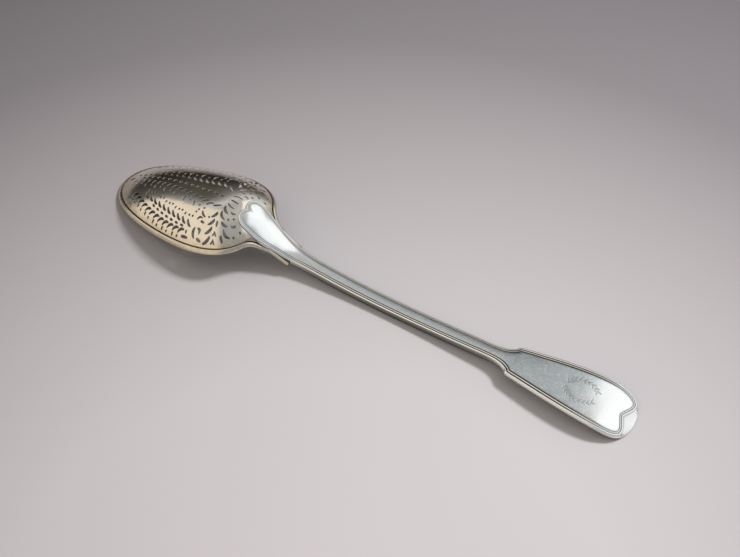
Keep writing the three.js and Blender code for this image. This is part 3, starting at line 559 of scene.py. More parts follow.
# %% Half the handle's outline, as curves in plan
lobe_side = DROP_WIDTH / 2
lobe_end = (DROP_FRONT + LOBE_LENGTH, lobe_side)
drop_notch = (DROP_FRONT + DROP_NOTCH, 0)
shoulder_point = (SHOULDER, SHOULDER_WIDTH / 2)
stem_start = (STEM_START, STEM_WIDTH / 2)
stem_finish = (STEM_END, STEM_WIDTH / 2)
flare_top = (CORNER - 0.3 * CORNER_ROUND, CORNER_WIDTH / 2 - 0.35 * CORNER_ROUND)
corner_end = (CORNER + CORNER_ROUND, CORNER_WIDTH / 2 + 0.15 * CORNER_ROUND)
fiddle_widest = (LENGTH - END_ROUND, FIDDLE_WIDTH / 2)
fiddle_thread = (fiddle_widest[0], fiddle_widest[1] - EDGE)
accolade_lobe = (LENGTH - ACCOLADE_LOBE, ACCOLADE_LOBE_WIDTH / 2)
accolade_notch = (LENGTH - ACCOLADE_NOTCH, 0)
END_SPLIT = 0.6
whole_end = sweep(fiddle_widest, (LENGTH, 0), (0.75, 0), (1, 0.28))
lobe = bend(
    drop_notch,
    (DROP_FRONT - LOBE_SWELL, 0.28 * lobe_side),
    (DROP_FRONT - LOBE_SWELL, lobe_side),
    lobe_end,
)
neck = bend(
    lobe_end,
    (lerp(lobe_end[0], SHOULDER, 1 / 3), lobe_side),
    (lerp(lobe_end[0], SHOULDER, 0.57), 1.18 * shoulder_point[1]),
    shoulder_point,
)
taper = bend(
    shoulder_point,
    (SHOULDER + STEM_TAPER / 3, 0.91 * shoulder_point[1]),
    (SHOULDER + STEM_TAPER / 2, stem_start[1]),
    stem_start,
)
stem = sweep(stem_start, stem_finish, (1 / 3, 0), (2 / 3, 0))
flare = bend(
    stem_finish,
    (lerp(STEM_END, CORNER, 0.5), stem_finish[1]),
    (CORNER - 1.1 * CORNER_ROUND, lerp(stem_finish[1], flare_top[1], 0.3)),
    flare_top,
)
corner = bend(
    flare_top,
    (CORNER - 0.13 * CORNER_ROUND, CORNER_WIDTH / 2 - 0.12 * CORNER_ROUND),
    (CORNER + 0.23 * CORNER_ROUND, CORNER_WIDTH / 2 + 0.02 * CORNER_ROUND),
    corner_end,
)
fiddle = sweep(corner_end, fiddle_widest, (0.35, 0.5), (0.7, 1))
accolade_side = sweep(fiddle_thread, accolade_lobe, (0.65, 0), (1, 0.36))
accolade_inner = sweep(accolade_lobe, accolade_notch, (0, 0.4), (0.6, 0.6))
print(f"outline: from the drop's notch at {drop_notch[0]:.1f} mm to the end at {LENGTH} mm")

# %% Places along the outline: the edge, the thread's line, the way inwards, and whether it laps the bowl
stretches = []


def add_places(edge, thread, inward, lapped):
    stretches.append((edge, thread, inward, np.full(len(edge), lapped)))


def along_edge(curve, count, lapped=False, last=1.0):
    """Places along a stretch where the thread follows the edge, up to where the next stretch starts."""
    shares = np.minimum(np.linspace(0, 1, count + 1), last)
    if last == 1:
        shares = shares[:-1]
    points, ways = curve(shares)
    add_places(points, points + right_of(ways) * EDGE, right_of(ways), lapped)


def along_accolade(curve, first, last, count):
    """Places along the rounded end, where the thread leaves the edge for the accolade."""
    shares = np.linspace(0, 1, count + 1)
    points, ways = curve(shares)
    add_places(whole_end(lerp(first, last, shares))[0], points, right_of(ways), False)


def fan(edge, thread, from_inward, to_inward, count, lapped):
    """Places at a notch, where the way inwards swings round while the edge stands still."""
    start = math.atan2(from_inward[1], from_inward[0])
    swing = math.atan2(to_inward[1], to_inward[0]) - start
    headings = start + swing * np.arange(count) / count
    ways = np.column_stack([np.cos(headings), np.sin(headings)])
    edge = np.tile(np.array(edge, float), (count, 1))
    points = edge + ways * EDGE if thread is None else np.tile(np.array(thread, float), (count, 1))
    add_places(edge, points, ways, lapped)


fan(drop_notch, None, (1, 0), right_of(lobe(0)[1])[0], 10, True)
along_edge(lobe, 60, lapped=True)
along_edge(neck, 46, lapped=True, last=1 - STEP_LEAN)
for curve, count in ((taper, 14), (stem, 40), (flare, 40), (corner, 14), (fiddle, 44)):
    along_edge(curve, count)
along_accolade(accolade_side, 0, END_SPLIT, 46)
along_accolade(accolade_inner, END_SPLIT, 1, 46)
notch_inward = right_of(accolade_inner(1)[1])[0]
fan((LENGTH, 0), accolade_notch, (-1, 0), notch_inward, 10, False)
stretches[-1] = [places[::-1] for places in stretches[-1]]
edges, threads, inwards, laps = (np.concatenate(places) for places in zip(*stretches))
print(f"handle: {len(edges)} rows along half its outline")


# %% Sections across the threads on the back, and across the grooves on the front
def bead(start, width, height, count):
    angle = np.linspace(0, math.pi, count)
    return np.column_stack([start + width * (1 - np.cos(angle)) / 2, height * np.sin(angle)])


inner_start = OUTER_THREAD + GROOVE
thread_zone = inner_start + INNER_THREAD + GROOVE
back_section = np.vstack(
    [
        bead(0, OUTER_THREAD, OUTER_THREAD_HEIGHT, 11),
        (OUTER_THREAD + GROOVE / 2, -GROOVE_DEPTH),
        bead(inner_start, INNER_THREAD, INNER_THREAD_HEIGHT, 9),
        (thread_zone - GROOVE / 2, -GROOVE_DEPTH),
        (thread_zone, 0),
    ]
)[::-1]
front_section = np.array(
    [
        (0, 3 * GROOVE_DEPTH),
        (0.08, GROOVE_DEPTH),
        (GROOVE, 0),
        (OUTER_THREAD, 0),
        (OUTER_THREAD + GROOVE / 2, 2 * GROOVE_DEPTH),
        (inner_start, 0),
        (thread_zone - GROOVE, 0),
        (thread_zone - GROOVE / 2, 2 * GROOVE_DEPTH),
        (thread_zone, 0),
    ]
)
print(f"threads: {thread_zone:.2f} mm wide in all")

# %% Make the handle
PANEL_COLUMNS = 18
LEDGE_COLUMNS = 5
WALL_COLUMNS = 4
FRONT_COLUMNS = 6
PANEL_EDGE = 0.12
PANEL_EDGE_DIRT = 0.3
FRONT_EDGE_DIRT = 0.2
FRONT_GROOVE_DIRT = 0.6
FRONT_PANEL_DIRT = 0.1
CLEAN_FROM = 0.55 * INNER_THREAD_HEIGHT
DIRTY_UNDER = -0.3 * GROOVE_DEPTH
middle_start = DROP_FRONT + DROP_NOTCH + PANEL_POLE
middle_end = LENGTH - ACCOLADE_NOTCH - PANEL_POLE
thread_scale = thread_fullness(edges[:, 0])[:, None]
panel_edge = threads + inwards * thread_zone * thread_scale
middle = np.column_stack([np.clip(panel_edge[:, 0], middle_start, middle_end), np.zeros(len(edges))])
ledge = np.linalg.norm(edges - threads, axis=1)
ledge_drop = EDGE + END_DROP * np.maximum(ledge - EDGE, 0)
columns = []


def add_column(points, dark, wear=0.0):
    columns.append((points, np.full(len(points), dark), np.full(len(points), wear)))


def add_back(plan, rise_share, lift, dark, wear=0.0):
    height = handle_top(*plan.T) + middle_rise(plan[:, 0]) * rise_share + lift
    add_column(np.column_stack([plan, height]), dark, wear)


for share in np.linspace(1, 0, PANEL_COLUMNS, endpoint=False):
    plan = lerp(panel_edge, middle, share)
    side_share = thread_share(plan[:, 0])
    dark = PANEL_EDGE_DIRT * groove_dirt(plan[:, 0]) * smoothstep(-share, -PANEL_EDGE, 0)
    add_back(plan, lerp(side_share, 1, 1 - (1 - share) ** 2), 0, dark, panel_wear(plan[:, 0]))
for inset, lift in back_section:
    plan = threads + inwards * inset * thread_scale
    dark = groove_dirt(plan[:, 0]) * (1 - smoothstep(lift, DIRTY_UNDER, CLEAN_FROM))
    add_back(plan, thread_share(plan[:, 0]) * inset / thread_zone, lift * thread_scale[:, 0], dark)
# The ledge darkens from the thread towards the edge with painted shade.
for share in np.linspace(0, 1, LEDGE_COLUMNS + 1)[1:]:
    dark = lerp(edge_painted_shade(edges[:, 0]), wall_painted_shade(edges[:, 0]), share)
    add_back(lerp(threads, edges, share), 0, -ledge_drop * share**2, dark)
to_middle = middle - edges
half_widths = np.linalg.norm(to_middle, axis=1, keepdims=True)
to_middle = to_middle / half_widths
wall_top = columns[-1][0]
wall_foot = handle_underside(*edges.T, laps)
foot_lift = np.where(laps, 0, front_section[0, 1])
# The wall is darkened with painted shade, as if it mirrored the shadow beside it.
for share in np.linspace(0, 1, WALL_COLUMNS + 1)[1:-1]:
    wall = np.column_stack([edges, lerp(wall_top[:, 2], wall_foot + foot_lift, share)])
    add_column(wall, wall_painted_shade(edges[:, 0]))
for inset, lift in front_section:
    plan = edges + to_middle * inset
    height = handle_underside(*plan.T, laps) + np.where(laps, 0, lift)
    add_column(np.column_stack([plan, height]), FRONT_EDGE_DIRT + FRONT_GROOVE_DIRT * lift / GROOVE_DEPTH)
for share in np.linspace(0, 1, FRONT_COLUMNS + 1)[1:]:
    plan = edges + to_middle * lerp(thread_zone, half_widths, share)
    add_column(np.column_stack([plan, handle_underside(*plan.T, laps)]), FRONT_PANEL_DIRT)
handle_net, patina_and_painted_shade, worn = (np.stack(values, 1) for values in zip(*columns))
handle_net[[0, -1], :, 1] = 0
handle_net[:, [0, -1], 1] = 0
handle = net("silver_handle", handle_net)
keep(handle, "patina_and_painted_shade", patina_and_painted_shade)
keep(handle, "worn", worn)
mirror(handle)
close_up(handle)
report(handle)

# %% [markdown]
# An engraver decorates the broad end. Here it is a plain laurel wreath of two branches, each leaf cut with
# one push of the graver. The panel is subdivided there first, so that each cut has points to press down.

# %% Engrave the wreath
WREATH_MIDDLE = np.array([LENGTH - 28.5, 0])
WREATH_LONG = 8.2
WREATH_WIDE = 6.2
WREATH_LEAVES = 10
WREATH_FROM = 172
WREATH_TO = 24
LEAF_CUT = 2.7
LEAF_SPREAD = 32
STEM_HALF = 0.16
LEAF_HALF = 0.4
CUT_END = 0.35
CUT_DEPTH = 0.1
CUT_STAIN = 0.4
CUTS_PER_FACE = 4


def cut(points, start, end, half):
    """How deep one push of the graver goes at each point, from 0 to 1, widest at the middle of the cut."""
    way = end - start
    share = np.clip((points - start) @ way / (way @ way), 0, 1)
    gap = np.linalg.norm(points - start - share[:, None] * way, axis=1)
    return np.clip(1 - gap / (half * lerp(CUT_END, 1, np.sin(math.pi * share))), 0, 1)


def on_panel(piece):
    """A piece's points, and which of them lie on the panel round the wreath."""
    points = points_of(piece)
    near = np.hypot(*(points[:, :2] - WREATH_MIDDLE).T) < WREATH_LONG + LEAF_CUT
    return points, near & (points[:, 2] > edge_height(points[:, 0]) + 0.3 * FIDDLE_RISE)


chosen = on_panel(handle)[1]
with editing(handle):
    bpy.ops.mesh.select_all(action="DESELECT")
for face in handle.data.polygons:
    face.select = all(chosen[index] for index in face.vertices)
bpy.ops.object.mode_set(mode="EDIT")
bpy.ops.mesh.subdivide(number_cuts=CUTS_PER_FACE)
bpy.ops.object.mode_set(mode="OBJECT")
points, chosen = on_panel(handle)
depth = np.zeros(len(points))
for side in (-1, 1):
    stem_angles = np.radians(np.linspace(WREATH_FROM, WREATH_TO, WREATH_LEAVES))
    oval = np.column_stack([WREATH_LONG * np.cos(stem_angles), side * WREATH_WIDE * np.sin(stem_angles)])
    for start, end in zip(oval[:-1], oval[1:]):
        heading = math.atan2(end[1] - start[1], end[0] - start[0])
        start, end = WREATH_MIDDLE + start, WREATH_MIDDLE + end
        depth = np.maximum(depth, cut(points[:, :2], start, end, STEM_HALF))
        for spread in (-LEAF_SPREAD, LEAF_SPREAD):
            turn = heading + math.radians(spread)
            tip = start + LEAF_CUT * np.array([math.cos(turn), math.sin(turn)])
            depth = np.maximum(depth, cut(points[:, :2], start, tip, LEAF_HALF))
points[:, 2] -= CUT_DEPTH * depth * chosen
place_points(handle, points)
stain = np.zeros(len(points))
patina_and_painted_shade = handle.data.attributes["patina_and_painted_shade"].data
patina_and_painted_shade.foreach_get("value", stain)
patina_and_painted_shade.foreach_set("value", np.maximum(stain, CUT_STAIN * depth * chosen))
shade(handle, sharp_from=50)
report(handle)

# %% [markdown]
# ## Pierced bowl
# The smith draws the ornament on the sheet and saws out each opening. Here the sheet is a fine flat grid
# with the thickness of the metal. Each opening is a circle that is pulled to its outline. All of them are
# joined, extruded to one set of punches and taken off the sheet by a Boolean modifier, as is what lies
# outside the lip. The punches have a step just under the surface, so that the top of each sawn wall can be
# shaded as an edge that is filed round. Then the flat sheet is raised over the back, and its shading normals
# come from the back's own form, because a mirror would show the seams between the sawn faces.

# %% Outlines of the openings: leaves, strokes, arrows and round holes
HOOK_LENGTH = 0.073 * BOWL_WIDTH
HOOK_WIDTH = 0.0212 * BOWL_WIDTH
CRESCENT_LENGTH = 0.074 * BOWL_WIDTH
CRESCENT_WIDTH = 0.0205 * BOWL_WIDTH
PALM_LENGTH = 0.0857 * BOWL_WIDTH
PALM_WIDTH = 0.0245 * BOWL_WIDTH
STROKE_LENGTH = 0.0367 * BOWL_WIDTH
STROKE_WIDTH = 0.0185 * BOWL_WIDTH
ARROW_LENGTH = 0.0385 * BOWL_WIDTH
ROUND_HOLE = 0.021 * BOWL_WIDTH
openings = []


def on_bowl(length_share, width_share):
    return np.array([length_share * BOWL_LENGTH, width_share * BOWL_WIDTH / 2])


def offset_from(base, heading, ahead, out):
    turn = math.radians(heading)
    along = np.cos(turn) * np.asarray(ahead) - np.sin(turn) * np.asarray(out)
    side = np.sin(turn) * np.asarray(ahead) + np.cos(turn) * np.asarray(out)
    return np.stack([base[0] + along, base[1] + side], -1)


def beside(place, ahead, out):
    """A place next to another, in shares of a hook's length."""
    return offset_from(place, 0, ahead * HOOK_LENGTH, out * HOOK_LENGTH)


def blade(base, heading, ahead, left, right):
    """An opening between its left and its right side, which both run from its base to its far end."""
    out = np.concatenate([left, right[::-1]])
    openings.append(offset_from(base, heading, np.concatenate([ahead, ahead[::-1]]), out))


leaf_width = smooth_through((0, 0.3), (0.1, 0.46), (0.35, 0.55), (0.66, 0.5), (0.88, 0.36), (1, 0.12))


def leaf(base, heading, length, width, bow):
    """A curved leaf, blunt at its base and pointed at its far end, with its bow as a share of its length."""
    share = np.concatenate([[0, 0.05], np.linspace(0.12, 1, 12)])
    spine = 4 * share * (1 - share) * bow * length
    half = leaf_width(share) * width
    blade(base, heading, share * length, spine + half, spine - half)


stroke_width = smooth_through((0, 0.5), (0.2, 0.85), (0.55, 1), (0.85, 0.5), (1, 0.06))


def stroke(base, heading, length):
    share = np.linspace(0, 1, 9)
    half = stroke_width(share) * STROKE_WIDTH / 2
    blade(base, heading, share * length, half, -half)


def arrow(tip, heading):
    ahead = np.array([0, 1, 1, 0.66, 1, 1]) * ARROW_LENGTH
    out = np.array([0, 0.65, 0.17, 0, -0.17, -0.65]) * ARROW_LENGTH
    openings.append(offset_from(tip, heading, ahead, out))


def round_hole(centre):
    angle = np.linspace(0, 2 * math.pi, 14, endpoint=False)
    openings.append(offset_from(centre, 0, np.cos(angle) * ROUND_HOLE / 2, np.sin(angle) * ROUND_HOLE / 2))


def along_stem(start, middle, end, count):
    """Evenly spaced places along a curved stem, each with its heading in degrees."""
    start, middle, end = np.array(start), np.array(middle), np.array(end)
    done = np.linspace(0, 1, 201)[:, None]
    line = start * (1 - done) ** 2 + 2 * middle * done * (1 - done) + end * done**2
    travelled = np.concatenate([[0], np.cumsum(np.linalg.norm(np.diff(line, axis=0), axis=1))])
    shares = np.interp(np.linspace(0, travelled[-1], count), travelled, done[:, 0])
    for share in shares:
        way = (middle - start) * (1 - share) + (end - middle) * share
        place = start * (1 - share) ** 2 + 2 * middle * share * (1 - share) + end * share**2
        yield place, math.degrees(math.atan2(way[1], way[0]))


def tailed_hook(place, heading, size, tail, is_tailed):
    """A hook, and towards the rim a tail or a round hole, placed in shares of the hook's length."""
    leaf(place, heading, size * HOOK_LENGTH, HOOK_WIDTH, -0.18)
    if is_tailed:
        foot = beside(place, tail["ahead"], tail["out"])
        leaf(foot, tail["heading"], size * tail["length"] * HOOK_LENGTH, STROKE_WIDTH, 0.06)
    else:
        round_hole(beside(place, 0.07, size * tail["hole"]))


# %% Draw the sprays, the feather and the palm on one half of the bowl
rim_tail = {"ahead": 0.24, "out": 0.09, "heading": 96, "length": 0.38, "hole": 0.29}
rim_stem = (on_bowl(0.162, 0.405), on_bowl(0.371, 0.808), on_bowl(0.576, 0.836))
for number, (place, heading) in enumerate(along_stem(*rim_stem, 12)):
    tailed_hook(place, 0.6 * heading - 22, 1, rim_tail, number % 2 == 0)
dash_stem = (on_bowl(0.343, 0.537), on_bowl(0.458, 0.69), on_bowl(0.577, 0.729))
for place, heading in along_stem(*dash_stem, 7):
    stroke(place, heading + 2, 1.15 * STROKE_LENGTH)
mark_foot = on_bowl(0.608, 0.865)
leaf(mark_foot, 0, HOOK_LENGTH, STROKE_WIDTH, 0)
stroke(beside(mark_foot, 0.5, -0.63), 85, 0.8 * STROKE_LENGTH)
crescent_stem = (on_bowl(0.262, 0.355), on_bowl(0.426, 0.54), on_bowl(0.612, 0.63))
for number, (place, _) in enumerate(along_stem(*crescent_stem, 10)):
    leaf(place, 39, CRESCENT_LENGTH, CRESCENT_WIDTH, 0.11)
    if number % 2:
        for ahead_share in (-0.07, 0.44):
            round_hole(beside(place, ahead_share, -0.47))
    else:
        stroke(beside(place, 0.23, -0.53), 108, 0.75 * STROKE_LENGTH)
FEATHER_HOOKS = 16
feather_tail = {"ahead": -0.05, "out": 0.26, "heading": 72, "length": 0.8, "hole": 0.49}
feather_stem = (on_bowl(0.1, 0.11), on_bowl(0.43, 0.15), on_bowl(0.67, 0.3))
for number, (place, _) in enumerate(along_stem(*feather_stem, FEATHER_HOOKS)):
    size = lerp(0.55, 1, number / (FEATHER_HOOKS - 1))
    tailed_hook(place, -28, size, feather_tail, number % 2 == 1 and number + 1 < FEATHER_HOOKS)
palm_stem = (on_bowl(0.758, 0.337), on_bowl(0.765, 0.54), on_bowl(0.779, 0.727))
for number, (place, heading) in enumerate(along_stem(*palm_stem, 4)):
    leaf(place, heading + 33 + 5 * number, (0.85 + 0.04 * number) * PALM_LENGTH, PALM_WIDTH, -0.12)
# Each leaf has its place along and across the bowl, its heading, its length, its width and its bow.
palm_leaves = (
    (0.772, 0.165, 42, 1, PALM_WIDTH, 0.17),
    (0.773, 0.285, 42, 1, PALM_WIDTH, 0.17),
    (0.802, 0.452, 4, 0.8, PALM_WIDTH, 0.15),
    (0.831, 0.536, 15, 1, PALM_WIDTH, 0.22),
    (0.83, 0.636, 44, 0.65, PALM_WIDTH, 0),
    (0.781, 0.47, 74, 0.6, STROKE_WIDTH, 0),
    (0.817, 0.212, -12, 0.55, STROKE_WIDTH, 0.25),
    (0.856, 0.42, -45, 0.55, STROKE_WIDTH, 0.28),
    (0.675, 0.703, 69, 0.9, PALM_WIDTH, 0.18),
    (0.692, 0.699, 50, 0.6, PALM_WIDTH, -0.28),
    (0.707, 0.83, 11, 0.6, STROKE_WIDTH, 0),
    (0.671, 0.423, 36, 0.9, STROKE_WIDTH, 0.1),
    (0.667, 0.591, -28, 0.65, STROKE_WIDTH, -0.25),
    (0.692, 0.592, 5, 0.5, STROKE_WIDTH, 0),
    (0.711, 0.266, -31, 0.9, STROKE_WIDTH, 0),
    (0.774, 0.092, 13, 0.95, 0.8 * STROKE_WIDTH, 0.1),
)
for *place, heading, size, width, bow in palm_leaves:
    leaf(on_bowl(*place), heading, size * PALM_LENGTH, width, bow)
for place in ((0.793, 0.622), (0.8, 0.73)):
    arrow(on_bowl(*place), 74)
palm_holes = (
    (0.852, 0.295),
    (0.828, 0.36),
    (0.912, 0.404),
    (0.895, 0.537),
    (0.727, 0.482),
    (0.647, 0.425),
    (0.64, 0.478),
)
for place in palm_holes:
    round_hole(on_bowl(*place))
openings.extend([outline * (1, -1) for outline in openings])
leaf(on_bowl(0.045, 0), 0, HOOK_LENGTH, HOOK_WIDTH, 0)
for place, _ in along_stem(on_bowl(0.14, 0), on_bowl(0.42, 0), on_bowl(0.7, 0), 15):
    leaf(place, 0, 1.3 * STROKE_LENGTH, HOOK_WIDTH, 0)
leaf(on_bowl(0.775, 0), 0, 0.9 * PALM_LENGTH, STROKE_WIDTH, 0)
print(f"ornament: {len(openings)} openings")


# %% Make the punches, the lip's blank and the flat sheet
CELL = 0.7
PUNCH_REACH = 1


def prisms(outlines, levels):
    """Upright prisms on outlines, as one piece: circles pulled to shape, joined and extruded by level."""
    made = []
    for outline in outlines:
        bpy.ops.mesh.primitive_circle_add(vertices=len(outline), fill_type="NGON")
        made.append(bpy.context.object)
        place_points(made[-1], np.column_stack([outline, np.full(len(outline), levels[0])]))
    only(made[0])
    for piece in made:
        piece.select_set(True)
    if len(made) > 1:
        bpy.ops.object.join()
    with editing(made[0]):
        for rise in np.diff(levels):
            extrude_up(rise)
        face_outwards()
    return made[0]


lip_turns = np.linspace(0, math.pi, 161)
lip_half = rim_inset(lip_turns, LIP_INSET)
lip_half[[0, -1], 1] = 0
lip_outline = np.vstack([lip_half, lip_half[1:-1][::-1] * (1, -1)])
punches = prisms(openings, (-SHEET - PUNCH_REACH, -EDGE_ROUND, PUNCH_REACH))
blank = prisms([lip_outline], (-SHEET - PUNCH_REACH, PUNCH_REACH))
sheet_along = np.arange(LIP_INSET - CELL, BOWL_LENGTH, CELL)
sheet_side = np.arange(-BOWL_WIDTH / 2, BOWL_WIDTH / 2 + CELL, CELL)
grid_along, grid_side = np.meshgrid(sheet_along, sheet_side)
bowl = net("silver_pierced_bowl", np.stack([grid_along, grid_side, np.zeros_like(grid_along)], -1))
with editing(bowl):
    extrude_up(-SHEET)
    face_outwards()
apply(bowl, "BOOLEAN", object=blank, operation="INTERSECT", solver="EXACT")
apply(bowl, "BOOLEAN", object=punches, operation="DIFFERENCE", solver="EXACT")
for tool in (punches, blank):
    bpy.data.objects.remove(tool)
report(bowl)

# %% Raise the sheet over the back, and shade it as the back curves
# Painted shade: the bowl's inside is darkened so that the openings look as dark as the shaded paper under
# the bowl. The sawn walls darken towards their feet, with sulphide and with painted shade.
WALL_TOP_SULPHIDE_AND_SHADE = 0.05
WALL_FOOT_SULPHIDE_AND_SHADE = 0.5
INSIDE_PAINTED_SHADE = 0.75
CREST_WEAR = 0.25
flat = points_of(bowl)
faces_up = np.array([face.normal.z for face in bowl.data.polygons])
back = back_normal(*flat[:, :2].T)
raised = on_back(flat[:, :2]) + back * flat[:, 2:]
place_points(bowl, raised)
shade(bowl, sharp_from=35)
corner_points = np.array([loop.vertex_index for loop in bowl.data.loops])
corner_up = np.repeat(faces_up, [face.loop_total for face in bowl.data.polygons])[:, None]
drawn = np.array([corner.vector for corner in bowl.data.corner_normals])
is_wall = np.abs(corner_up) < 0.5
at_top = flat[corner_points, 2:] > -EDGE_ROUND / 2
sheet_normal = back[corner_points]
filed = unit(drawn + at_top * sheet_normal)
smooth = np.where(is_wall, filed, sheet_normal * np.sign(corner_up))
bowl.data.normals_split_custom_set(smooth.tolist())
# Sulphide and painted shade on the walls, and painted shade on the inside.
wall_dark = np.where(at_top, WALL_TOP_SULPHIDE_AND_SHADE, WALL_FOOT_SULPHIDE_AND_SHADE)
keep(bowl, "patina_and_painted_shade", np.where(is_wall, wall_dark, np.where(corner_up < 0, INSIDE_PAINTED_SHADE, 0)), "CORNER")
rise = (back_height(*flat[:, :2].T) - rim_height(flat[:, 0])) / BOWL_DEPTH
keep(bowl, "worn", lerp(1, CREST_WEAR, smoothstep(rise, 0.05, 0.5)))
report(bowl)


# %% [markdown]
# ## Old silver
# Silver of about 950 parts, forged, planished and polished by hand and then used for two centuries. Four
# things tell the eye that it is old: faint clouds where tarnish comes back, hair scratches from washing and
# wiping, hammer work that makes the reflections wander a little, and black sulphide that no cloth reaches,
# in the grooves and in the sawn openings. The pieces carry that last one as an attribute, which the
# material reads. The same attribute also carries painted shade: on the handle's walls and ledges, on the
# neck plate, and on the bowl's inside and the feet of its sawn walls.


# %% Colours and nodes
def linear(hex_colour):
    """A colour written as sRGB hex, as the linear values that Blender's sockets take."""
    parts = [int(hex_colour[start : start + 2], 16) / 255 for start in (1, 3, 5)]
    return [part / 12.92 if part <= 0.04045 else ((part + 0.055) / 1.055) ** 2.4 for part in parts] + [1]


def add(tree, kind, settings=None, **links):
    """Adds a node, sets its properties, and fills its inputs by name with values or with other sockets."""
    node = tree.nodes.new(kind)
    for key, value in (settings or {}).items():
        setattr(node, key, value)
    for key, value in links.items():
        name = key.replace("_", " ")
        socket = node.inputs[int(name[5:])] if name.startswith("input") else node.inputs[name]
        if isinstance(value, bpy.types.NodeSocket):
            tree.links.new(value, socket)
        else:
            socket.default_value = value
    return node


def calc(tree, operation, *values, clamp=False):
    """A product or a sum of values and sockets, as a socket."""
    inputs = {f"input{index}": value for index, value in enumerate(values)}
    node = add(tree, "ShaderNodeMath", {"operation": operation, "use_clamp": clamp}, **inputs)
    return node.outputs["Value"]


def blend(tree, share, first, second):
    """A colour between two others, as a socket."""
    node = add(tree, "ShaderNodeMix", {"data_type": "RGBA"}, Factor=share, input6=first, input7=second)
    return node.outputs[2]


def ramp(tree, share, *stops):
    """A colour from a row of stops, each a place and a colour, as a socket."""
    node = add(tree, "ShaderNodeValToRGB", Fac=share)
    elements = node.color_ramp.elements
    for element, (place, colour) in zip(elements, (stops[0], stops[-1])):
        element.position = place
        element.color = linear(colour)
    for place, colour in stops[1:-1]:
        elements.new(place).color = linear(colour)
    return node.outputs["Color"]


def new_material(name):
    material = bpy.data.materials.new(name)
    material.use_nodes = True
    material.node_tree.nodes.clear()
    return material, material.node_tree


# %% [markdown]
# Hair scratches on the real spoon are a few hundredths of a millimetre wide, too fine for the picture, so
# they are drawn about a millimetre wide here, and swirled as a cloth leaves them.


# %% The silver's material
# The dark colour of sulphide, which also serves for painted shade.
SULPHIDE_AND_SHADE = "#1f1913"
SULPHIDE_BLUR = 0.25
WIPED_AT = 25
HAMMER_SIZE = 9 * MM
HAIR_WIDTH = 0.9 * MM
HAIR_LENGTH = 2.4 * MM
HAIR_SWIRL = 1.5
HAIR_DEPTH = 3e-5
HAMMER_DEPTH = 1.3e-4
CLOUD_FLOOR = 0.45


def noise(tree, place, **settings):
    return add(tree, "ShaderNodeTexNoise", Vector=place, **settings).outputs["Fac"]


def spread(tree, value, low, high, **settings):
    """A value stretched from its usual range to 0 and 1, as a socket."""
    node = add(tree, "ShaderNodeMapRange", Value=value, From_Min=low, From_Max=high, **settings)
    return node.outputs["Result"]


def carried(tree, name):
    return add(tree, "ShaderNodeAttribute", {"attribute_name": name}).outputs["Fac"]


def old_silver(name, polished, tarnished, blur, worn_blur, clouds, scuffs):
    """Silver between two colours, with clouds of a size in millimetres and scuffs that bare it again."""
    material, tree = new_material(name)
    place = add(tree, "ShaderNodeTexCoord").outputs["Object"]
    cloud = noise(tree, place, Scale=1 / (clouds * MM), Detail=7.0, Roughness=0.72)
    cloud = spread(tree, cloud, 0.32, 0.62, To_Min=CLOUD_FLOOR)
    wiped = add(
        tree,
        "ShaderNodeMapping",
        Vector=place,
        Rotation=(0, 0, math.radians(WIPED_AT)),
        Scale=(1 / HAIR_LENGTH, 1 / HAIR_WIDTH, 1 / HAIR_LENGTH),
    )
    hair = noise(tree, wiped.outputs["Vector"], Scale=1.0, Detail=2.0, Distortion=HAIR_SWIRL)
    hair = spread(tree, hair, 0.53, 0.62)
    hammer = noise(tree, place, Scale=1 / HAMMER_SIZE, Detail=0.0)
    # The attribute holds sulphide in the grooves and openings, and painted shade on the handle's walls, the
    # neck plate and the bowl's inside. Both turn the silver towards the dark colour.
    sulphide_and_shade = carried(tree, "patina_and_painted_shade")
    wear = carried(tree, "worn")
    dim = calc(tree, "MULTIPLY", cloud, wear)
    bared = calc(tree, "MULTIPLY_ADD", hair, -scuffs, dim, clamp=True)
    skin = blend(tree, bared, linear(polished), linear(tarnished))
    colour = blend(tree, sulphide_and_shade, skin, linear(SULPHIDE_AND_SHADE))
    dull = calc(tree, "MULTIPLY_ADD", wear, worn_blur, blur)
    duller = calc(tree, "MULTIPLY_ADD", sulphide_and_shade, SULPHIDE_BLUR, dull)
    dents = calc(tree, "MULTIPLY", hammer, HAMMER_DEPTH)
    scratch = calc(tree, "MULTIPLY", hair, wear)
    height = calc(tree, "MULTIPLY_ADD", scratch, -HAIR_DEPTH, dents)
    bumps = add(tree, "ShaderNodeBump", Strength=1.0, Distance=1.0, Height=height)
    shader = add(
        tree,
        "ShaderNodeBsdfPrincipled",
        Base_Color=colour,
        Metallic=1.0,
        Roughness=duller,
        Normal=bumps.outputs["Normal"],
    )
    add(tree, "ShaderNodeOutputMaterial", Surface=shader.outputs["BSDF"])
    return material


# %% Give each piece its silver
bowl_silver = old_silver(
    "polished_old_silver_bowl", "#f3efe7", "#cfbc9c", blur=0.1, worn_blur=0.08, clouds=11, scuffs=0.12
)
wire_silver = old_silver(
    "polished_old_silver_wire", "#e9e2d4", "#bfae93", blur=0.14, worn_blur=0.1, clouds=9, scuffs=0.2
)
neck_silver = old_silver(
    "dull_old_silver_neck", "#cfc7b6", "#b3a68e", blur=0.2, worn_blur=0.1, clouds=9, scuffs=0.3
)
handle_silver = old_silver(
    "polished_old_silver_handle", "#f2f4f4", "#cdd9de", blur=0.2, worn_blur=0.14, clouds=3.5, scuffs=0.8
)
for piece, wear in ((rim_wire, 0.6), (neck_plate, 1.0)):
    keep(piece, "worn", np.full(len(piece.data.vertices), wear))
finishes = (
    (bowl, "pierced_bowl", "bowl_silver", bowl_silver),
    (rim_wire, "rim_wire", "rim_silver", wire_silver),
    (neck_plate, "neck_plate", "neck_silver", neck_silver),
    (handle, "handle", "handle_silver", handle_silver),
)
for piece, node, slot, material in finishes:
    piece.data.materials.clear()
    piece.data.materials.append(material)
    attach(piece, "root")
    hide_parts(node)
    print(f"{node}: {material.name}")
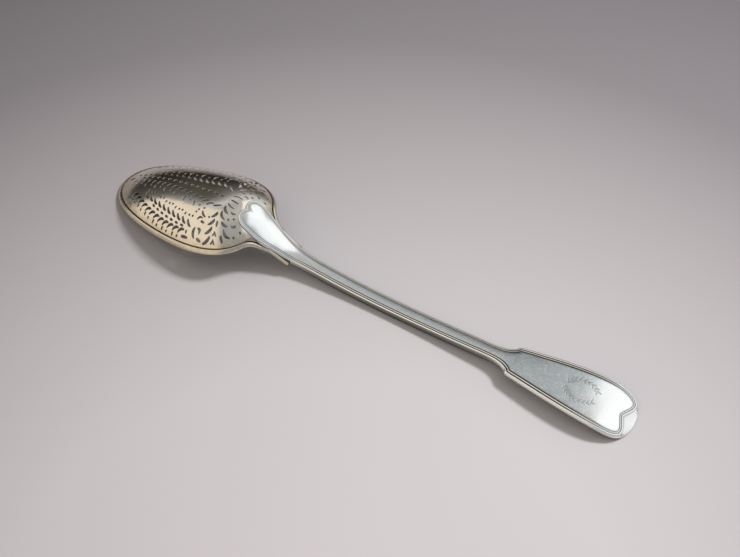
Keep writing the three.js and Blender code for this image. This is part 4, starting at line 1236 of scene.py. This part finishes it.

# %% [markdown]
# ## Paper, light and camera
# Polished silver has hardly any colour of its own: what it shows is the room round it. So the room is made
# with care. A white soft box stands behind on the right, a cream screen in front on the left, and behind on
# the left the room is dark. A smaller lamp over the soft box draws the shadow. The paper's colour carries a
# painted pool of light: it is brightest in front and falls off towards the back.

# %% The paper
LIGHT_POOL_MIDDLE = (78 * MM, -173 * MM, 0)
LIGHT_POOL_REACH = 900 * MM
PAPER_SIZE = 4000 * MM
bpy.ops.mesh.primitive_plane_add(size=PAPER_SIZE)
paper = bpy.context.object
paper.name = "paper"
paper_material, tree = new_material("pale_paper")
paper_place = add(tree, "ShaderNodeTexCoord")
from_middle = add(
    tree,
    "ShaderNodeMapping",
    {"vector_type": "TEXTURE"},
    Vector=paper_place.outputs["Object"],
    Location=LIGHT_POOL_MIDDLE,
    Scale=[LIGHT_POOL_REACH] * 3,
)
nearness = add(
    tree, "ShaderNodeTexGradient", {"gradient_type": "SPHERICAL"}, Vector=from_middle.outputs["Vector"]
)
# Painted light: the paper's colour is brightest round a middle in front and falls off towards the back, like
# a pool of lamplight.
paper_painted_light = ramp(
    tree,
    nearness.outputs["Fac"],
    (0.3, "#5a565a"),
    (0.45, "#625e62"),
    (0.578, "#777377"),
    (0.667, "#969194"),
    (0.756, "#aca8ab"),
    (0.844, "#bcb8bb"),
    (1.0, "#c3bec1"),
)
shader = add(tree, "ShaderNodeBsdfPrincipled", Base_Color=paper_painted_light, Roughness=0.8)
add(tree, "ShaderNodeOutputMaterial", Surface=shader.outputs["BSDF"])
paper.data.materials.append(paper_material)
print(f"paper: {PAPER_SIZE:.0f} m wide, brightest {-LIGHT_POOL_MIDDLE[1] / MM:.0f} mm in front")

# %% The room, as a world: dark behind on the left, with a cream screen in front on the left
DARK_WAY = (-0.754, 0.633, -0.174)
SCREEN_TOP = (0, 1, -0.45)
SCREEN_SIDE = (1, 0.38, 0)
SCREEN_CREAM = "#efe4d2"
world = bpy.data.worlds.new("room")
bpy.context.scene.world = world
world.use_nodes = True
tree = world.node_tree
tree.nodes.clear()
looking = add(tree, "ShaderNodeTexCoord").outputs["Generated"]


def towards(way):
    """How far the direction looked in goes along a way, as a socket."""
    node = add(tree, "ShaderNodeVectorMath", {"operation": "DOT_PRODUCT"}, input0=looking, input1=way)
    return node.outputs["Value"]


def screen_edge(way, start, end):
    """Rises from 0 to 1 over one soft edge of the screen, as a socket."""
    settings = {"interpolation_type": "SMOOTHSTEP"}
    node = add(tree, "ShaderNodeMapRange", settings, Value=towards(way), From_Min=start, From_Max=end)
    return node.outputs["Result"]


walls = ramp(
    tree,
    spread(tree, towards(DARK_WAY), -0.5, 1.0),
    (0.0, "#a5a8a9"),
    (0.22, "#c0bfbd"),
    (0.47, "#b2b1ae"),
    (0.6, "#cfd2d3"),
    (0.67, "#969696"),
    (0.75, "#5b5a54"),
    (0.95, "#2d2b27"),
)
screen = calc(tree, "MULTIPLY", screen_edge(SCREEN_TOP, -0.28, -0.34), screen_edge(SCREEN_SIDE, 0.0, -0.3))
room = blend(tree, screen, walls, linear(SCREEN_CREAM))
light = add(tree, "ShaderNodeBackground", Color=room, Strength=1.0)
add(tree, "ShaderNodeOutputWorld", Surface=light.outputs["Background"])
print(f"room: {len(tree.nodes)} nodes")


# %% The soft box, which the silver mirrors, and the lamp that draws the shadow
def area_lamp(name, place, width, height, watts):
    data = bpy.data.lights.new(name, "AREA")
    data.shape = "RECTANGLE"
    data.size = width
    data.size_y = height
    data.energy = watts
    lamp = bpy.data.objects.new(name, data)
    bpy.context.scene.collection.objects.link(lamp)
    lamp.location = place
    lamp.rotation_euler = lamp.location.to_track_quat("Z", "Y").to_euler()
    lamp.visible_camera = False
    print(f"{name}: {width} by {height} m, {watts} W")
    return lamp


SHADOW_WAY = np.array([0.378, 0.583, 0.719])
KEY_DISTANCE = 1.3
SOFT_BOX_PLACE = (0.39, 0.38, 0.46)
area_lamp("soft_box", SOFT_BOX_PLACE, width=0.85, height=0.6, watts=1.02)
key_lamp = area_lamp("key_lamp", SHADOW_WAY * KEY_DISTANCE, width=0.2, height=0.2, watts=17)
key_lamp.visible_glossy = False

# %% The camera, at the photograph's angle
AZIMUTH = math.radians(31.094)
ELEVATION = math.radians(52.092)
DISTANCE = 0.79393
TARGET = np.array([-3.26, 11.65, 0]) * MM
LENS = 75.08
SENSOR_WIDTH = 36
ahead = np.array([-math.sin(AZIMUTH) * math.cos(ELEVATION), math.cos(AZIMUTH) * math.cos(ELEVATION), 0])
ahead[2] = -math.sin(ELEVATION)
camera_data = bpy.data.cameras.new("camera")
camera_data.sensor_width = SENSOR_WIDTH
camera_data.lens = LENS
camera = bpy.data.objects.new("camera", camera_data)
bpy.context.scene.collection.objects.link(camera)
camera.location = TARGET - ahead * DISTANCE
camera.rotation_euler = (math.pi / 2 - ELEVATION, 0, AZIMUTH)
bpy.context.scene.camera = camera
bpy.context.scene.view_settings.view_transform = "Standard"
print(f"camera: {DISTANCE:.2f} m away, with a lens of {LENS} mm")
